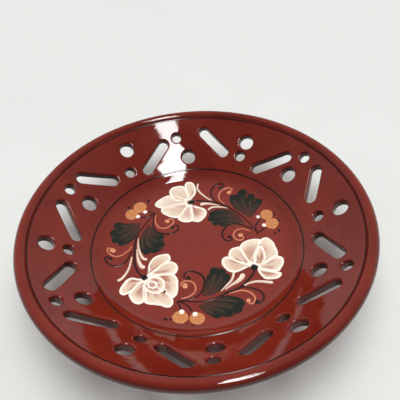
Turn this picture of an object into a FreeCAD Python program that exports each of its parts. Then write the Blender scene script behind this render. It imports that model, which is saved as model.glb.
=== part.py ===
import FreeCAD, Part
import math
import os

import Sketcher

# Hand painted pierced ceramic plate, 250 mm across, in millimetres.
# Origin: centre of the foot ring's resting plane.  +Z is up.
# The fired clay body is one revolved piece with 36 piercings cut through
# the rim.  Every painted element is a raised layer of coloured slip that lies
# on the well, so it is its own thin solid that follows the curved surface.

V3 = FreeCAD.Vector
doc = FreeCAD.newDocument("pierced_plate")
os.makedirs("parts", exist_ok=True)

DIMENSIONS = {
    "lip_centre_radius": 120.9,
    "lip_centre_height": 45.6,
    "lip_tube_radius": 4.1,
    "floor_height": 10.0,
    "well_radius": 68.7,
    "wall_thickness": 6.0,
    "rim_angle": 37.0,
    "well_fillet": 32.0,
    "foot_height": 4.0,
    "foot_outer_radius": 56.0,
    "foot_inner_radius": 49.0,
    "foot_edge_fillet": 1.4,
    "large_hole_radius": 5.85,
    "small_hole_radius": 4.05,
    "slot_half_width": 4.35,
    "cutter_reach": 12.0,
    "cutter_tilt": 14.0,
    "hole_edge_fillet": 1.4,
    "hole_under_fillet": 0.5,
    "paint_thickness": 0.35,
    "paint_reach": 78.5,
    "inner_line_width": 1.2,
    "outer_line_width": 0.8,
    "inner_band_radius": 79.3,
    "cutter_height": 30.0,
    "seam_angle": 28.5,
}


def make_sheet():
    """Spreadsheet with every driving dimension."""
    sheet = doc.addObject("Spreadsheet::Sheet", "Dimensions")
    for row, (name, value) in enumerate(DIMENSIONS.items(), start=1):
        sheet.set(f"A{row}", name)
        sheet.set(f"B{row}", str(value))
        sheet.setAlias(f"B{row}", name)
    doc.recompute()
    return sheet


SHEET = make_sheet()


def dim(name):
    return float(SHEET.get(name))


SLOPE = math.tan(math.radians(dim("rim_angle")))


def rim_height(radius):
    """Height of the rim's straight upper surface at a given radius."""
    return dim("floor_height") + (radius - dim("well_radius")) * SLOPE


def coincide(sketch, first, first_end, second, second_end):
    sketch.addConstraint(Sketcher.Constraint("Coincident", first, first_end, second, second_end))


def pin_point(sketch, geo, end, x_rule, y_rule, label):
    """Tie one sketch point to the sheet, x and y measured from the origin."""
    point = sketch.getPoint(geo, end)
    for axis, rule, value in (("DistanceX", x_rule, point.x), ("DistanceY", y_rule, point.y)):
        if rule is None:
            continue
        index = sketch.addConstraint(Sketcher.Constraint(axis, -1, 1, geo, end, value))
        name = label + axis[-1]
        sketch.renameConstraint(index, name)
        sketch.setExpression("Constraints." + name, rule)


def measure(sketch, constraint, name, rule):
    index = sketch.addConstraint(constraint)
    sketch.renameConstraint(index, name)
    sketch.setExpression("Constraints." + name, rule)


# ------------------------------------------------------------------ clay body
def blank_outline(body):
    """Half section of the unpierced dish, sharp at the corners that get filleted."""
    plane = [f for f in body.Origin.OriginFeatures if f.Role == "XZ_Plane"][0]
    sketch = body.newObject("Sketcher::SketchObject", "dish_section")
    sketch.AttachmentSupport = [(plane, "")]
    sketch.MapMode = "FlatFace"

    angle = math.radians(dim("rim_angle"))
    thick = dim("wall_thickness")
    floor = dim("floor_height")
    foot = dim("foot_height")
    centre = V3(dim("lip_centre_radius"), dim("lip_centre_height"), 0)
    tube = dim("lip_tube_radius")
    along = V3(math.cos(angle), math.sin(angle), 0)
    up = V3(-math.sin(angle), math.cos(angle), 0)
    corner = V3(dim("well_radius"), floor, 0)
    depth = (corner - centre).dot(up)
    crease = centre + up * depth - along * math.sqrt(tube ** 2 - depth ** 2)
    under_depth = depth - thick
    under = centre + up * under_depth - along * math.sqrt(tube ** 2 - under_depth ** 2)
    run = (foot - under.y) / math.sin(angle)
    under_corner = under + along * run

    points = [
        V3(0, floor, 0),
        corner,
        crease,
        under,
        under_corner,
        V3(dim("foot_outer_radius"), foot, 0),
        V3(dim("foot_outer_radius"), 0, 0),
        V3(dim("foot_inner_radius"), 0, 0),
        V3(dim("foot_inner_radius"), foot, 0),
        V3(0, foot, 0),
    ]
    floor_line = sketch.addGeometry(Part.LineSegment(points[0], points[1]))
    rim_line = sketch.addGeometry(Part.LineSegment(points[1], points[2]))
    start = math.atan2(under.y - centre.y, under.x - centre.x)
    stop = math.atan2(crease.y - centre.y, crease.x - centre.x)
    circle = Part.Circle(centre, V3(0, 0, 1), tube)
    lip = sketch.addGeometry(Part.ArcOfCircle(circle, start, stop))
    chain = [sketch.addGeometry(Part.LineSegment(points[i], points[i + 1])) for i in range(3, 9)]
    axis_line = sketch.addGeometry(Part.LineSegment(points[9], points[0]))

    coincide(sketch, floor_line, 2, rim_line, 1)
    coincide(sketch, rim_line, 2, lip, 2)
    coincide(sketch, lip, 1, chain[0], 1)
    for before, after in zip(chain, chain[1:]):
        coincide(sketch, before, 2, after, 1)
    coincide(sketch, chain[-1], 2, axis_line, 1)
    coincide(sketch, axis_line, 2, floor_line, 1)
    sketch.addConstraint(Sketcher.Constraint("Horizontal", floor_line))
    sketch.addConstraint(Sketcher.Constraint("Parallel", rim_line, chain[0]))
    sketch.addConstraint(Sketcher.Constraint("PointOnObject", axis_line, 1, -2))

    pin_point(sketch, floor_line, 1, None, "Dimensions.floor_height", "floor")
    sketch.addConstraint(Sketcher.Constraint("PointOnObject", floor_line, 1, -2))
    pin_point(sketch, rim_line, 1, "Dimensions.well_radius", None, "well")
    measure(sketch, Sketcher.Constraint("Angle", rim_line, angle), "rim_slope", "Dimensions.rim_angle")
    pin_point(sketch, lip, 3, "Dimensions.lip_centre_radius", "Dimensions.lip_centre_height", "lip")
    measure(sketch, Sketcher.Constraint("Radius", lip, tube), "lip_tube", "Dimensions.lip_tube_radius")
    measure(
        sketch,
        Sketcher.Constraint("Distance", chain[0], 2, rim_line, thick),
        "wall",
        "Dimensions.wall_thickness",
    )
    pin_point(sketch, chain[0], 2, None, "Dimensions.foot_height", "under")
    pin_point(sketch, chain[1], 2, "Dimensions.foot_outer_radius", "Dimensions.foot_height", "foot_a")
    sketch.addConstraint(Sketcher.Constraint("Vertical", chain[2]))
    sketch.addConstraint(Sketcher.Constraint("PointOnObject", chain[2], 2, -1))
    sketch.addConstraint(Sketcher.Constraint("Vertical", chain[4]))
    sketch.addConstraint(Sketcher.Constraint("PointOnObject", chain[3], 2, -1))
    pin_point(sketch, chain[4], 2, "Dimensions.foot_inner_radius", "Dimensions.foot_height", "foot_b")
    sketch.addConstraint(Sketcher.Constraint("Horizontal", chain[5]))
    return sketch


def ring_edges(shape, wanted):
    """Names of the circular edges at the listed (radius, height) places."""
    names = []
    for number, edge in enumerate(shape.Edges, start=1):
        if not isinstance(edge.Curve, Part.Circle):
            continue
        for radius, height in wanted:
            near = abs(edge.Curve.Radius - radius) < 0.2
            if near and abs(edge.Curve.Center.z - height) < 0.2:
                names.append(f"Edge{number}")
    return names


def dish_blank():
    """Revolved dish with its well, underside and foot edges rounded."""
    body = doc.addObject("PartDesign::Body", "dish_blank")
    sketch = blank_outline(body)
    doc.recompute()
    turned = body.newObject("PartDesign::Revolution", "turned_dish")
    turned.Profile = sketch
    turned.ReferenceAxis = (sketch, ["V_Axis"])
    turned.Angle = 360.0
    doc.recompute()
    thick = dim("wall_thickness")
    under_radius = dim("well_radius") + thick * math.tan(math.radians(dim("rim_angle") / 2))
    foot = dim("foot_height")
    steps = [
        ("well_round", [(dim("well_radius"), dim("floor_height"))], "Dimensions.well_fillet"),
        (
            "under_round",
            [(under_radius, foot)],
            "Dimensions.well_fillet + Dimensions.wall_thickness",
        ),
        (
            "foot_round",
            [
                (dim("foot_outer_radius"), 0.0),
                (dim("foot_inner_radius"), 0.0),
                (dim("foot_outer_radius"), foot),
                (dim("foot_inner_radius"), foot),
            ],
            "Dimensions.foot_edge_fillet",
        ),
    ]
    previous = turned
    for name, places, rule in steps:
        fillet = body.newObject("PartDesign::Fillet", name)
        fillet.Base = (previous, ring_edges(previous.Shape, places))
        fillet.setExpression("Radius", rule)
        doc.recompute()
        previous = fillet
    body.Tip = previous
    # The turned faces' own seam is put where the rim has no piercing.
    body.Placement = FreeCAD.Placement(V3(0, 0, 0), FreeCAD.Rotation(V3(0, 0, 1), dim("seam_angle")))
    doc.recompute()
    return body


# ------------------------------------------------------------------ piercings
# Six repeats round the rim.  Each repeat has a V of two slots with a large
# round hole outside and a small one inside it, then an inverted V space with
# a small hole outside and a large one inside.  They were cut by hand into
# soft clay, so every hole has its own radius from the axis and its own angle.
OUTER_LARGE = [(106.0, 1.5), (102.5, 61.5), (105.0, 121.5), (106.0, 185.0), (103.0, 244.0), (103.5, 303.5)]
INNER_SMALL = [(92.0, 3.5), (92.0, 62.5), (90.0, 126.0), (93.0, 185.5), (90.0, 245.0), (91.0, 304.0)]
OUTER_SMALL = [(109.0, 32.5), (103.5, 96.5), (106.5, 155.5), (107.0, 213.0), (103.5, 273.0), (107.5, 333.0)]
INNER_LARGE = [(94.0, 33.5), (89.0, 91.5), (91.5, 155.5), (91.5, 213.5), (92.0, 274.5), (91.0, 332.5)]
# Each slot from its inner tip to its outer tip, as (radius, angle) pairs.
SLOTS = [
    ((91.5, 13.0), (109.5, 25.0)),
    ((86.5, -6.0), (104.0, -22.0)),
    ((91.0, 70.0), (108.5, 84.5)),
    ((85.5, 53.0), (105.5, 38.5)),
    ((89.5, 134.5), (108.5, 149.0)),
    ((85.0, 118.5), (102.5, 102.0)),
    ((90.0, 193.0), (109.0, 207.0)),
    ((88.0, 178.5), (107.5, 163.0)),
    ((91.0, 252.5), (107.5, 266.5)),
    ((88.0, 233.5), (107.5, 219.5)),
    ((89.5, 313.5), (107.0, 326.0)),
    ((93.5, 296.0), (103.5, 282.0)),
]


def rim_point(radius, angle):
    turn = math.radians(angle)
    return V3(radius * math.cos(turn), radius * math.sin(turn), rim_height(radius))


def cutter_axis(angle):
    """Direction of a piercing: the rim's normal, leaned a little towards upright."""
    turn = math.radians(angle)
    lean = math.radians(dim("rim_angle") - dim("cutter_tilt"))
    return V3(-math.sin(lean) * math.cos(turn), -math.sin(lean) * math.sin(turn), math.cos(lean))


def frame_placement(origin, along, normal):
    """Placement whose local X runs along the surface and local Z along the normal."""
    side = normal.cross(along).normalize()
    along = side.cross(normal).normalize()
    matrix = FreeCAD.Matrix(
        along.x, side.x, normal.x, origin.x,
        along.y, side.y, normal.y, origin.y,
        along.z, side.z, normal.z, origin.z,
        0, 0, 0, 1,
    )
    return FreeCAD.Placement(matrix)


def round_cutter(name, radius, angle, rule):
    """Cylinder through the rim at one place."""
    cutter = doc.addObject("Part::Cylinder", name)
    cutter.setExpression("Radius", rule)
    cutter.setExpression("Height", "Dimensions.cutter_reach * 2")
    axis = cutter_axis(angle)
    start = rim_point(radius, angle) - axis * (dim("cutter_reach") + dim("wall_thickness") / 2)
    spin = math.radians(angle)
    tangent = V3(-math.sin(spin), math.cos(spin), 0)
    cutter.Placement = frame_placement(start, tangent, axis)
    return cutter


def slot_cutter(name, inner, outer):
    """Round-ended prism through the rim, from one tip to the other."""
    first = rim_point(*inner)
    last = rim_point(*outer)
    middle_angle = (inner[1] + outer[1]) / 2
    axis = cutter_axis(middle_angle)
    half = dim("slot_half_width")
    length = (last - first).Length - 2 * half
    sketch = doc.addObject("Sketcher::SketchObject", name + "_outline")
    left = V3(-length / 2, 0, 0)
    right = V3(length / 2, 0, 0)
    rise = V3(0, half, 0)
    quarter = math.pi / 2
    arc_left = sketch.addGeometry(
        Part.ArcOfCircle(Part.Circle(left, V3(0, 0, 1), half), quarter, 3 * quarter)
    )
    arc_right = sketch.addGeometry(
        Part.ArcOfCircle(Part.Circle(right, V3(0, 0, 1), half), -quarter, quarter)
    )
    top = sketch.addGeometry(Part.LineSegment(left + rise, right + rise))
    bottom = sketch.addGeometry(Part.LineSegment(left - rise, right - rise))
    for arc, end, line, tip in (
        (arc_left, 1, top, 1),
        (arc_left, 2, bottom, 1),
        (arc_right, 2, top, 2),
        (arc_right, 1, bottom, 2),
    ):
        sketch.addConstraint(Sketcher.Constraint("Tangent", arc, end, line, tip))
    sketch.addConstraint(Sketcher.Constraint("Symmetric", arc_left, 3, arc_right, 3, -1, 1))
    sketch.addConstraint(Sketcher.Constraint("PointOnObject", arc_left, 3, -1))
    measure(
        sketch,
        Sketcher.Constraint("Radius", arc_left, half),
        "half_width",
        "Dimensions.slot_half_width",
    )
    sketch.addConstraint(Sketcher.Constraint("Distance", arc_left, 3, arc_right, 3, length))
    centre = (first + last) * 0.5
    centre.z = (first.z + last.z) / 2
    sketch.Placement = frame_placement(centre, last - first, axis)
    cutter = doc.addObject("Part::Extrusion", name)
    cutter.Base = sketch
    cutter.DirMode = "Normal"
    cutter.setExpression("LengthFwd", "Dimensions.cutter_reach - Dimensions.wall_thickness / 2")
    cutter.setExpression("LengthRev", "Dimensions.cutter_reach + Dimensions.wall_thickness / 2")
    cutter.Solid = True
    return cutter


def piercing_cutters():
    cutters = []
    families = (
        ("outer_large", OUTER_LARGE, "Dimensions.large_hole_radius"),
        ("inner_small", INNER_SMALL, "Dimensions.small_hole_radius"),
        ("outer_small", OUTER_SMALL, "Dimensions.small_hole_radius"),
        ("inner_large", INNER_LARGE, "Dimensions.large_hole_radius"),
    )
    for family, places, rule in families:
        for index, (radius, angle) in enumerate(places):
            cutters.append(round_cutter(f"{family}_{index}", radius, angle, rule))
    for index, (inner, outer) in enumerate(SLOTS):
        cutters.append(slot_cutter(f"slot_{index}", inner, outer))
    doc.recompute()
    return cutters


def pierced_body(blank):
    """The clay body: the dish less its piercings, all their edges softened."""
    group = doc.addObject("Part::Compound", "piercings")
    group.Links = piercing_cutters()
    cut = doc.addObject("Part::Cut", "sharp_body")
    cut.Base = blank
    cut.Tool = group
    doc.recompute()
    top_size = dim("hole_edge_fillet")
    under_size = dim("hole_under_fillet")
    chosen = []
    middle_low = dim("well_radius") + 10
    middle_high = dim("lip_centre_radius") - 4
    for number, edge in enumerate(cut.Shape.Edges, start=1):
        box = edge.BoundBox
        whole_ring = box.XLength > 60 or box.YLength > 60 or isinstance(edge.Curve, Part.Line)
        reach = [math.hypot(v.Point.x, v.Point.y) for v in edge.Vertexes]
        on_rim = min(reach) > middle_low and max(reach) < middle_high + 8
        if whole_ring or not on_rim:
            continue
        if abs(surface_gap(edge)) < 0.2:
            chosen.append((number, top_size, top_size))
        elif abs(surface_gap(edge) + dim("wall_thickness")) < 0.2:
            chosen.append((number, under_size, under_size))
    rounded = doc.addObject("Part::Fillet", "plate_body")
    rounded.Base = cut
    rounded.Edges = chosen
    doc.recompute()
    return rounded


def surface_gap(edge):
    """Mean distance of an edge's ends from the rim's upper surface, along its normal."""
    gaps = []
    lean = math.radians(dim("rim_angle"))
    for parameter in (edge.FirstParameter, (edge.FirstParameter + edge.LastParameter) / 2):
        point = edge.valueAt(parameter)
        gaps.append((point.z - rim_height(math.hypot(point.x, point.y))) * math.cos(lean))
    return sum(gaps) / len(gaps) if max(gaps) - min(gaps) < 0.3 else 99.0


# ------------------------------------------------------------- painted bands
def outer_band():
    """Thin dark line on the rim, just inside the rolled lip."""
    angle = math.radians(dim("rim_angle"))
    along = V3(math.cos(angle), 0, math.sin(angle))
    up = V3(-math.sin(angle), 0, math.cos(angle))
    centre = V3(dim("lip_centre_radius"), 0, dim("lip_centre_height"))
    corner = V3(dim("well_radius"), 0, dim("floor_height"))
    depth = (corner - centre).dot(up)
    crease = centre + up * depth - along * math.sqrt(dim("lip_tube_radius") ** 2 - depth ** 2)
    width = dim("outer_line_width")
    return bead("outer_band_line", crease - along * (width / 2 + 0.1), width)


def inner_band():
    """Dark line round the foot of the rim, a low bead on the slope."""
    radius = dim("inner_band_radius")
    centre = V3(radius, 0, rim_height(radius))
    return bead("inner_band_line", centre, dim("inner_line_width"))


def bead(name, centre, width):
    """A low ring of slip with bevelled sides that stands on the rim's slope."""
    angle = math.radians(dim("rim_angle"))
    along = V3(math.cos(angle), 0, math.sin(angle))
    crown = V3(-math.sin(angle), 0, math.cos(angle)) * dim("paint_thickness")
    half = width / 2
    corners = [
        centre - along * half,
        centre + along * half,
        centre + along * (half * 0.55) + crown,
        centre - along * (half * 0.55) + crown,
    ]
    return turned_band(name, Part.makePolygon(corners + corners[:1]))


def turned_band(name, wire):
    section = doc.addObject("Part::Feature", name + "_section")
    section.Shape = Part.Face(wire)
    band = doc.addObject("Part::Revolution", name)
    band.Source = section
    band.Axis = V3(0, 0, 1)
    band.Base = V3(0, 0, 0)
    band.Angle = 360.0
    band.Solid = True
    doc.recompute()
    return band


# ------------------------------------------------------------ painted motifs
# Three flower sprays turn round the centre, each drawn by hand and slightly
# different.  Points are millimetres in the first spray's own position; spray
# k is turned by -120 k degrees.  A stroke is (points, start width, middle
# width, end width); a blob is (x, y, radius).
SPRAYS = [
    {
        "petals": [
            [(-2.6, 50.6), (1.2, 56), (2.1, 61.8), (0.2, 68), (-4, 69.8), (-7.4, 67.4), (-6.8, 60), (-5, 53)],
            [(-5, 50), (-4.6, 58), (-8.2, 65.6), (-14, 66.2), (-19.2, 64.2), (-21, 59), (-17, 50)],
            [(-6, 48), (-12, 54), (-21.4, 57), (-30, 52.4), (-33.3, 47.6), (-31.8, 44.4), (-27, 42.2), (-15, 42)],
            [(-6, 46), (-15, 46), (-26.6, 42.8), (-28, 38.8), (-25.4, 35), (-20, 31.4), (-14.2, 30.2), (-8, 35)],
            [(-5, 44), (-10, 38), (-14.2, 30), (-13, 27.2), (-10, 25), (-5.4, 24.4), (-2.6, 26), (-1.5, 34)],
            [(-4, 43.6), (-3, 34), (-2.8, 26), (0, 24.2), (4, 24.2), (7, 27.4), (9.4, 31.4), (9.5, 35), (7.6, 38.6),
             (2, 41)],
        ],
        "heart": (-2.6, 46.8, 2.6),
        "stem": [(-1, 47.6), (4, 47.8), (12, 45.9), (20.4, 43.2), (26.9, 38.5), (35.3, 29.9), (42.3, 19.6), (47.8, 7)],
        "twigs": [
            [(47.6, 7), (47, 12.6), (48.2, 17.3), (51.8, 22.2)],
            [(47.9, 7.2), (49.8, 9.3), (54.2, 12.5)],
        ],
        "cream": [
            ([(4.4, 67.4), (3.4, 63), (4.8, 59), (8, 53.8), (11.6, 49.6), (14.8, 47.2)], 1.5, 1.7, 1.2),
            ([(4.6, 43), (8, 44), (12.8, 43.4), (18, 41.6), (20.6, 40.6)], 3.4, 1.9, 1.0),
            ([(10.8, 36.2), (13.2, 38.6), (16.8, 39.3), (23.7, 38.1), (27.2, 36.6)], 1.8, 1.6, 0.9),
        ],
        "black_up": [(18.4, 44.4), (16.2, 49), (14.8, 53.7), (15, 58.8), (17.1, 62.5), (20.4, 64.4), (24.6, 64.6),
                     (26.6, 62.8), (25, 61)],
        "black_up_blob": (23.3, 60.7, 1.8),
        "orange_up": [(25.3, 41.4), (22.7, 44.8), (21.1, 48.5), (21.1, 52.7), (23.2, 56.9), (26.5, 59.1),
                      (30.2, 59.5), (32.8, 57.6), (32, 55.4)],
        "orange_up_blob": (30.2, 54.8, 2.1),
        "black_low": [(45.6, 12), (40.5, 15), (36.7, 17.3), (33, 18.7), (29.3, 19.1), (25.5, 18), (22.3, 14.9),
                      (20.4, 11.2), (20.2, 7), (21.8, 3.7), (24.6, 2), (27.2, 3.2), (26.8, 5.2)],
        "black_low_blob": (25.6, 6, 1.7),
        "orange_low": [(42.6, 9.8), (39.5, 12.1), (35.8, 13.4), (32.1, 12.6), (29.3, 9.8), (28.8, 6.5), (30.7, 3),
                       (33.9, 2.1), (36.2, 3.9), (35.8, 6)],
        "orange_low_blob": (34.3, 7, 2.1),
        "outer_leaf": [(43.5, 24), (39, 30), (35, 34), (31.8, 40), (30.4, 46), (31, 51), (34, 54.5), (38, 55.5),
                       (41, 58.5), (44.5, 58), (46.5, 54.5), (50.5, 50.5), (51.5, 47), (55.5, 44.5), (58, 41.5),
                       (56.5, 37), (52, 33), (48, 28)],
        "inner_leaf": [(8, 26), (9.5, 31.5), (13, 34.5), (20, 36.2), (26, 35.5), (31, 33), (36, 28), (40.5, 19),
                       (34, 20), (26, 16.8), (18, 16.5), (11, 19.5)],
        "berries": [(57.5, 25.8, 4.4), (60.2, 16.2, 4.9)],
        "highlights": [(50.5, 24.6, 1.6), (54, 15.4, 1.8)],
        "dots": [(63.6, 24.8, 1.1), (65.8, 17.7, 1.1), (64.6, 8, 1.4), (61, 6, 1.1)],
    },
    {
        "petals": [
            [(2.4, 50.8), (5.2, 54.2), (6.9, 58), (5.6, 62.2), (3.2, 66.4), (0, 67.6), (-2.4, 66), (-1.4, 59),
             (0, 53)],
            [(0.4, 50.6), (-0.4, 58), (-2.8, 64.2), (-6, 65.4), (-10, 65.6), (-14.4, 64.2), (-16.2, 61), (-15, 56),
             (-6, 52)],
            [(-1.6, 47.8), (-6, 54), (-16.4, 59), (-24.8, 53.8), (-28, 50.2), (-29.4, 46.2), (-27.6, 43),
             (-23.6, 41.6), (-10, 42)],
            [(-1.4, 46), (-10, 46), (-24.2, 42), (-24.8, 39), (-22.8, 35.4), (-20.4, 32.8), (-16.8, 30.6),
             (-12, 30.2), (-5, 35)],
            [(-0.6, 44.6), (-6, 38), (-12, 30.4), (-10.4, 27.4), (-8, 25.2), (-4, 24.8), (-0.2, 26.6), (2.2, 34)],
            [(0.4, 44.8), (0.6, 35), (-0.4, 26.6), (1.6, 23.6), (4.8, 23), (8, 24.6), (10.8, 28.6), (12, 33),
             (10.8, 36.6), (8, 39.4), (4, 42)],
        ],
        "heart": (0.9, 47.4, 2.7),
        "stem": [(2, 48.2), (6, 48.5), (12, 47.6), (20.4, 45), (28.3, 38.6), (37.7, 31.2), (43.7, 22.9),
                 (48.9, 10)],
        "twigs": [
            [(49.3, 9.8), (48.9, 14.9), (50, 19.6), (52, 23)],
            [(49.8, 9.6), (51.8, 13), (54, 15.2)],
        ],
        "cream": [
            ([(7.9, 64.4), (9.2, 59), (11.2, 53.8), (14.4, 49.6), (18.2, 46.6)], 2.6, 1.8, 1.4),
            ([(9.2, 42.2), (12.9, 42.4), (17.1, 41), (21.3, 38.7), (24.6, 37), (27, 35.9)], 4.0, 1.9, 0.9),
            ([(11.4, 35.6), (14.3, 36.5), (18.1, 36.8), (21.8, 35.9), (25.5, 35), (29.7, 33.8)], 1.8, 1.6, 1.0),
        ],
        "black_up": [(20.2, 46), (18.5, 50.4), (17.6, 54.6), (18.3, 59.3), (20.4, 62.1), (23.7, 63.2), (27.2, 62.6),
                     (28.4, 60.8)],
        "black_up_blob": (27.2, 60.2, 2.0),
        "orange_up": [(29.1, 39.4), (26, 42.5), (23.2, 45.7), (21.8, 49.5), (22, 54.1), (24.1, 57.2), (27.4, 58.2),
                      (30, 57), (30, 54.8)],
        "orange_up_blob": (28.3, 54.2, 1.8),
        "black_low": [(48.2, 11.6), (46.1, 14.9), (43.3, 18.2), (39.5, 20.8), (34.9, 21.9), (30.2, 21.2), (26, 19.4),
                      (23.2, 15.9), (22.3, 11.7), (23.2, 7), (26, 4), (29, 4.1), (30.6, 6)],
        "black_low_blob": (29.3, 7.9, 1.8),
        "orange_low": [(46.6, 11.2), (44.2, 14.2), (41.2, 16.3), (37.7, 17.4), (33.9, 16.2), (31.4, 13.5),
                       (31.1, 10.3), (32.5, 6.8), (35.3, 5.5), (37.7, 6.6)],
        "orange_low_blob": (36, 8.8, 2.3),
        "outer_leaf": [(46, 23), (42, 28.5), (37.5, 33), (33, 37.5), (30, 42), (29.2, 48), (30.5, 53.5), (34, 57),
                       (38, 57), (41, 54.5), (45.5, 51.5), (48, 47), (50.8, 43), (51.2, 39), (49.6, 33.5),
                       (48.2, 28)],
        "inner_leaf": [(8.6, 24.5), (10.5, 29), (12.5, 34), (18, 35.3), (24, 34.3), (30, 32.5), (36, 29.5),
                       (40.5, 24), (34, 22.3), (27, 21), (21, 19), (16, 17), (10.5, 18.5)],
        "berries": [(55.5, 28.6, 4.2), (59.6, 17.8, 4.7)],
        "highlights": [(53.1, 25.6, 1.8), (55.4, 16.6, 1.9)],
        "dots": [(61.8, 28.6, 0.8), (63.8, 13, 1.0), (65.4, 9.8, 1.5)],
    },
    {
        "petals": [
            [(-3.6, 49.4), (0, 52.2), (2.8, 55), (3.2, 59), (0.8, 63.4), (-2.4, 67), (-5.6, 68.2), (-8.4, 66.2),
             (-8, 60), (-5.4, 53)],
            [(-4.4, 49.6), (-5.4, 57), (-8.8, 63), (-12, 64), (-16, 64), (-19.2, 62.6), (-20.8, 59.8), (-19, 54),
             (-10, 50)],
            [(-5, 47.6), (-10, 53), (-20.8, 57.2), (-27.2, 51.8), (-30, 48.8), (-33.2, 46.6), (-34.4, 43.8),
             (-32.8, 40.8), (-27.4, 39), (-12, 40)],
            [(-5, 46), (-14, 45), (-28, 39.8), (-29.2, 36.6), (-26.8, 33.4), (-22.8, 30.6), (-19.2, 28.6),
             (-15.2, 27.8), (-11.4, 29), (-7, 36)],
            [(-4.6, 44.4), (-8, 37), (-12.6, 28.4), (-12.4, 25.8), (-10, 23), (-6, 22), (-2.8, 23), (-0.6, 25.4),
             (0.2, 33)],
            [(-3.4, 44.2), (-1.4, 33), (-0.6, 24.8), (2, 22.6), (4.8, 22), (6.8, 23.4), (8.8, 27.8), (9.4, 31.8),
             (8.4, 35.4), (6, 39), (2.4, 41.6)],
        ],
        "heart": (-2.3, 47.4, 2.4),
        "stem": [(-0.6, 48.5), (5, 48.8), (12, 47.6), (19, 44.3), (27.4, 39.7), (35.3, 33.6), (42.3, 23.3),
                 (48.9, 9.6)],
        "twigs": [
            [(49.1, 9.6), (48.6, 14.9), (49.8, 19.1), (51.9, 21.6)],
            [(49.4, 9.6), (51.2, 12), (54, 13.6)],
        ],
        "cream": [
            ([(5.6, 65), (6, 61.4), (8, 57.4), (11.2, 53), (16, 49), (19.8, 46)], 2.2, 1.7, 1.2),
            ([(4.8, 43), (7.6, 44.3), (12, 44.1), (16.8, 42.8), (20.5, 41.3), (24, 39.9)], 3.6, 1.9, 1.0),
            ([(10.4, 37.9), (13.3, 39.9), (18.1, 39.7), (23.7, 38.3), (28.3, 36.4), (33, 33.8)], 2.4, 1.7, 1.0),
        ],
        "black_up": [(24.6, 43.4), (21.3, 47.6), (18.5, 51.3), (17.6, 55.5), (18.3, 59.3), (20.4, 62.5),
                     (23.7, 64.2), (27.4, 64.4), (29.4, 62.6), (28.4, 60.8)],
        "black_up_blob": (26.6, 60.6, 1.8),
        "orange_up": [(29.3, 41.1), (26.9, 44.8), (26, 48.5), (25.6, 52.3), (26.9, 56.3), (29.7, 58.6),
                      (33.5, 59.4), (36.4, 58.2), (35.6, 55.6)],
        "orange_up_blob": (33.2, 55.6, 2.4),
        "black_low": [(48, 10.8), (44.7, 13.5), (40.5, 16.3), (37.7, 18), (33.9, 18.7), (30.2, 18.4), (26.5, 16.3),
                      (23.7, 13.5), (22, 10.3), (21.6, 6.5), (22.5, 3.4), (25.1, 1.6), (27.6, 2.7), (28, 4.6)],
        "black_low_blob": (26.8, 6.1, 1.6),
        "orange_low": [(46.4, 10.4), (43.2, 12.8), (39.5, 14.6), (35.3, 15.1), (32.1, 14.2), (29.7, 11.2),
                       (29.4, 7.9), (30.4, 3.8), (33, 1.6), (35.8, 2.6), (36.6, 4.8)],
        "orange_low_blob": (35.2, 6.1, 2.1),
        "outer_leaf": [(45, 23), (41, 27.5), (37, 33), (34.5, 38), (33.6, 44), (34, 49.5), (37, 52.8), (40, 55.8),
                       (43.5, 55.4), (46, 53), (50, 53.4), (52.5, 49.5), (56, 47.4), (58.5, 43.5), (57.5, 38.5),
                       (54, 33.8), (50, 30.5), (47.5, 26.5)],
        "inner_leaf": [(8.8, 24.5), (10, 29.5), (12.5, 34.5), (16.5, 37.6), (22, 37.6), (28, 35.3), (34, 31),
                       (39.5, 25.5), (42, 20.5), (35, 20.2), (28, 19.2), (22, 15.8), (16, 17.5), (11, 20.5)],
        "berries": [(58.2, 26.4, 4.8), (61.4, 17.2, 5.1)],
        "highlights": [(53.8, 23.2, 1.8), (54.9, 15.9, 1.8)],
        "dots": [(65.2, 26, 1.4), (67.1, 17.7, 1.0), (63.9, 7.8, 1.4), (66.6, 6.6, 0.7)],
    },
]


def smooth_curve(points, closed):
    curve = Part.BSplineCurve()
    curve.interpolate([V3(x, y, 0) for x, y in points], PeriodicFlag=closed)
    return curve


def upward_face(wire):
    """Flat face inside a closed wire, its normal along +Z whichever way it was drawn."""
    face = Part.Face(wire)
    if face.normalAt(0, 0).z < 0:
        wire.reverse()
        face = Part.Face(wire)
    return face


def leaf_face(points):
    """Flat face inside a smooth closed outline."""
    return upward_face(Part.Wire([smooth_curve(points, True).toShape()]))


def blob_face(x, y, radius):
    return upward_face(Part.Wire([Part.makeCircle(radius, V3(x, y, 0))]))


def stroke_face(points, start_width, middle_width, end_width):
    """Flat face of one brush stroke whose width changes along its path."""
    path = smooth_curve(points, False)
    stations = 4 * len(points)
    left = []
    right = []
    for step in range(stations + 1):
        share = step / stations
        point = path.value(path.FirstParameter + share * (path.LastParameter - path.FirstParameter))
        tangent = path.tangent(path.parameter(point))[0]
        swell = 1 - abs(2 * share - 1)
        end = start_width if share < 0.5 else end_width
        half = (end + (middle_width - end) * min(1.0, 1.6 * swell)) / 2
        side = V3(-tangent.y, tangent.x, 0) * half
        left.append(point + side)
        right.append(point - side)
    left_curve = Part.BSplineCurve()
    left_curve.interpolate(left)
    right_curve = Part.BSplineCurve()
    right_curve.interpolate(right)
    first = path.value(path.FirstParameter)
    last = path.value(path.LastParameter)
    first_tip = first - path.tangent(path.FirstParameter)[0] * (start_width / 2)
    last_tip = last + path.tangent(path.LastParameter)[0] * (end_width / 2)
    wire = Part.Wire(Part.__sortEdges__([
        left_curve.toShape(),
        Part.Arc(left[-1], last_tip, right[-1]).toShape(),
        right_curve.toShape(),
        Part.Arc(right[0], first_tip, left[0]).toShape(),
    ]))
    return upward_face(wire)


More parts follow.
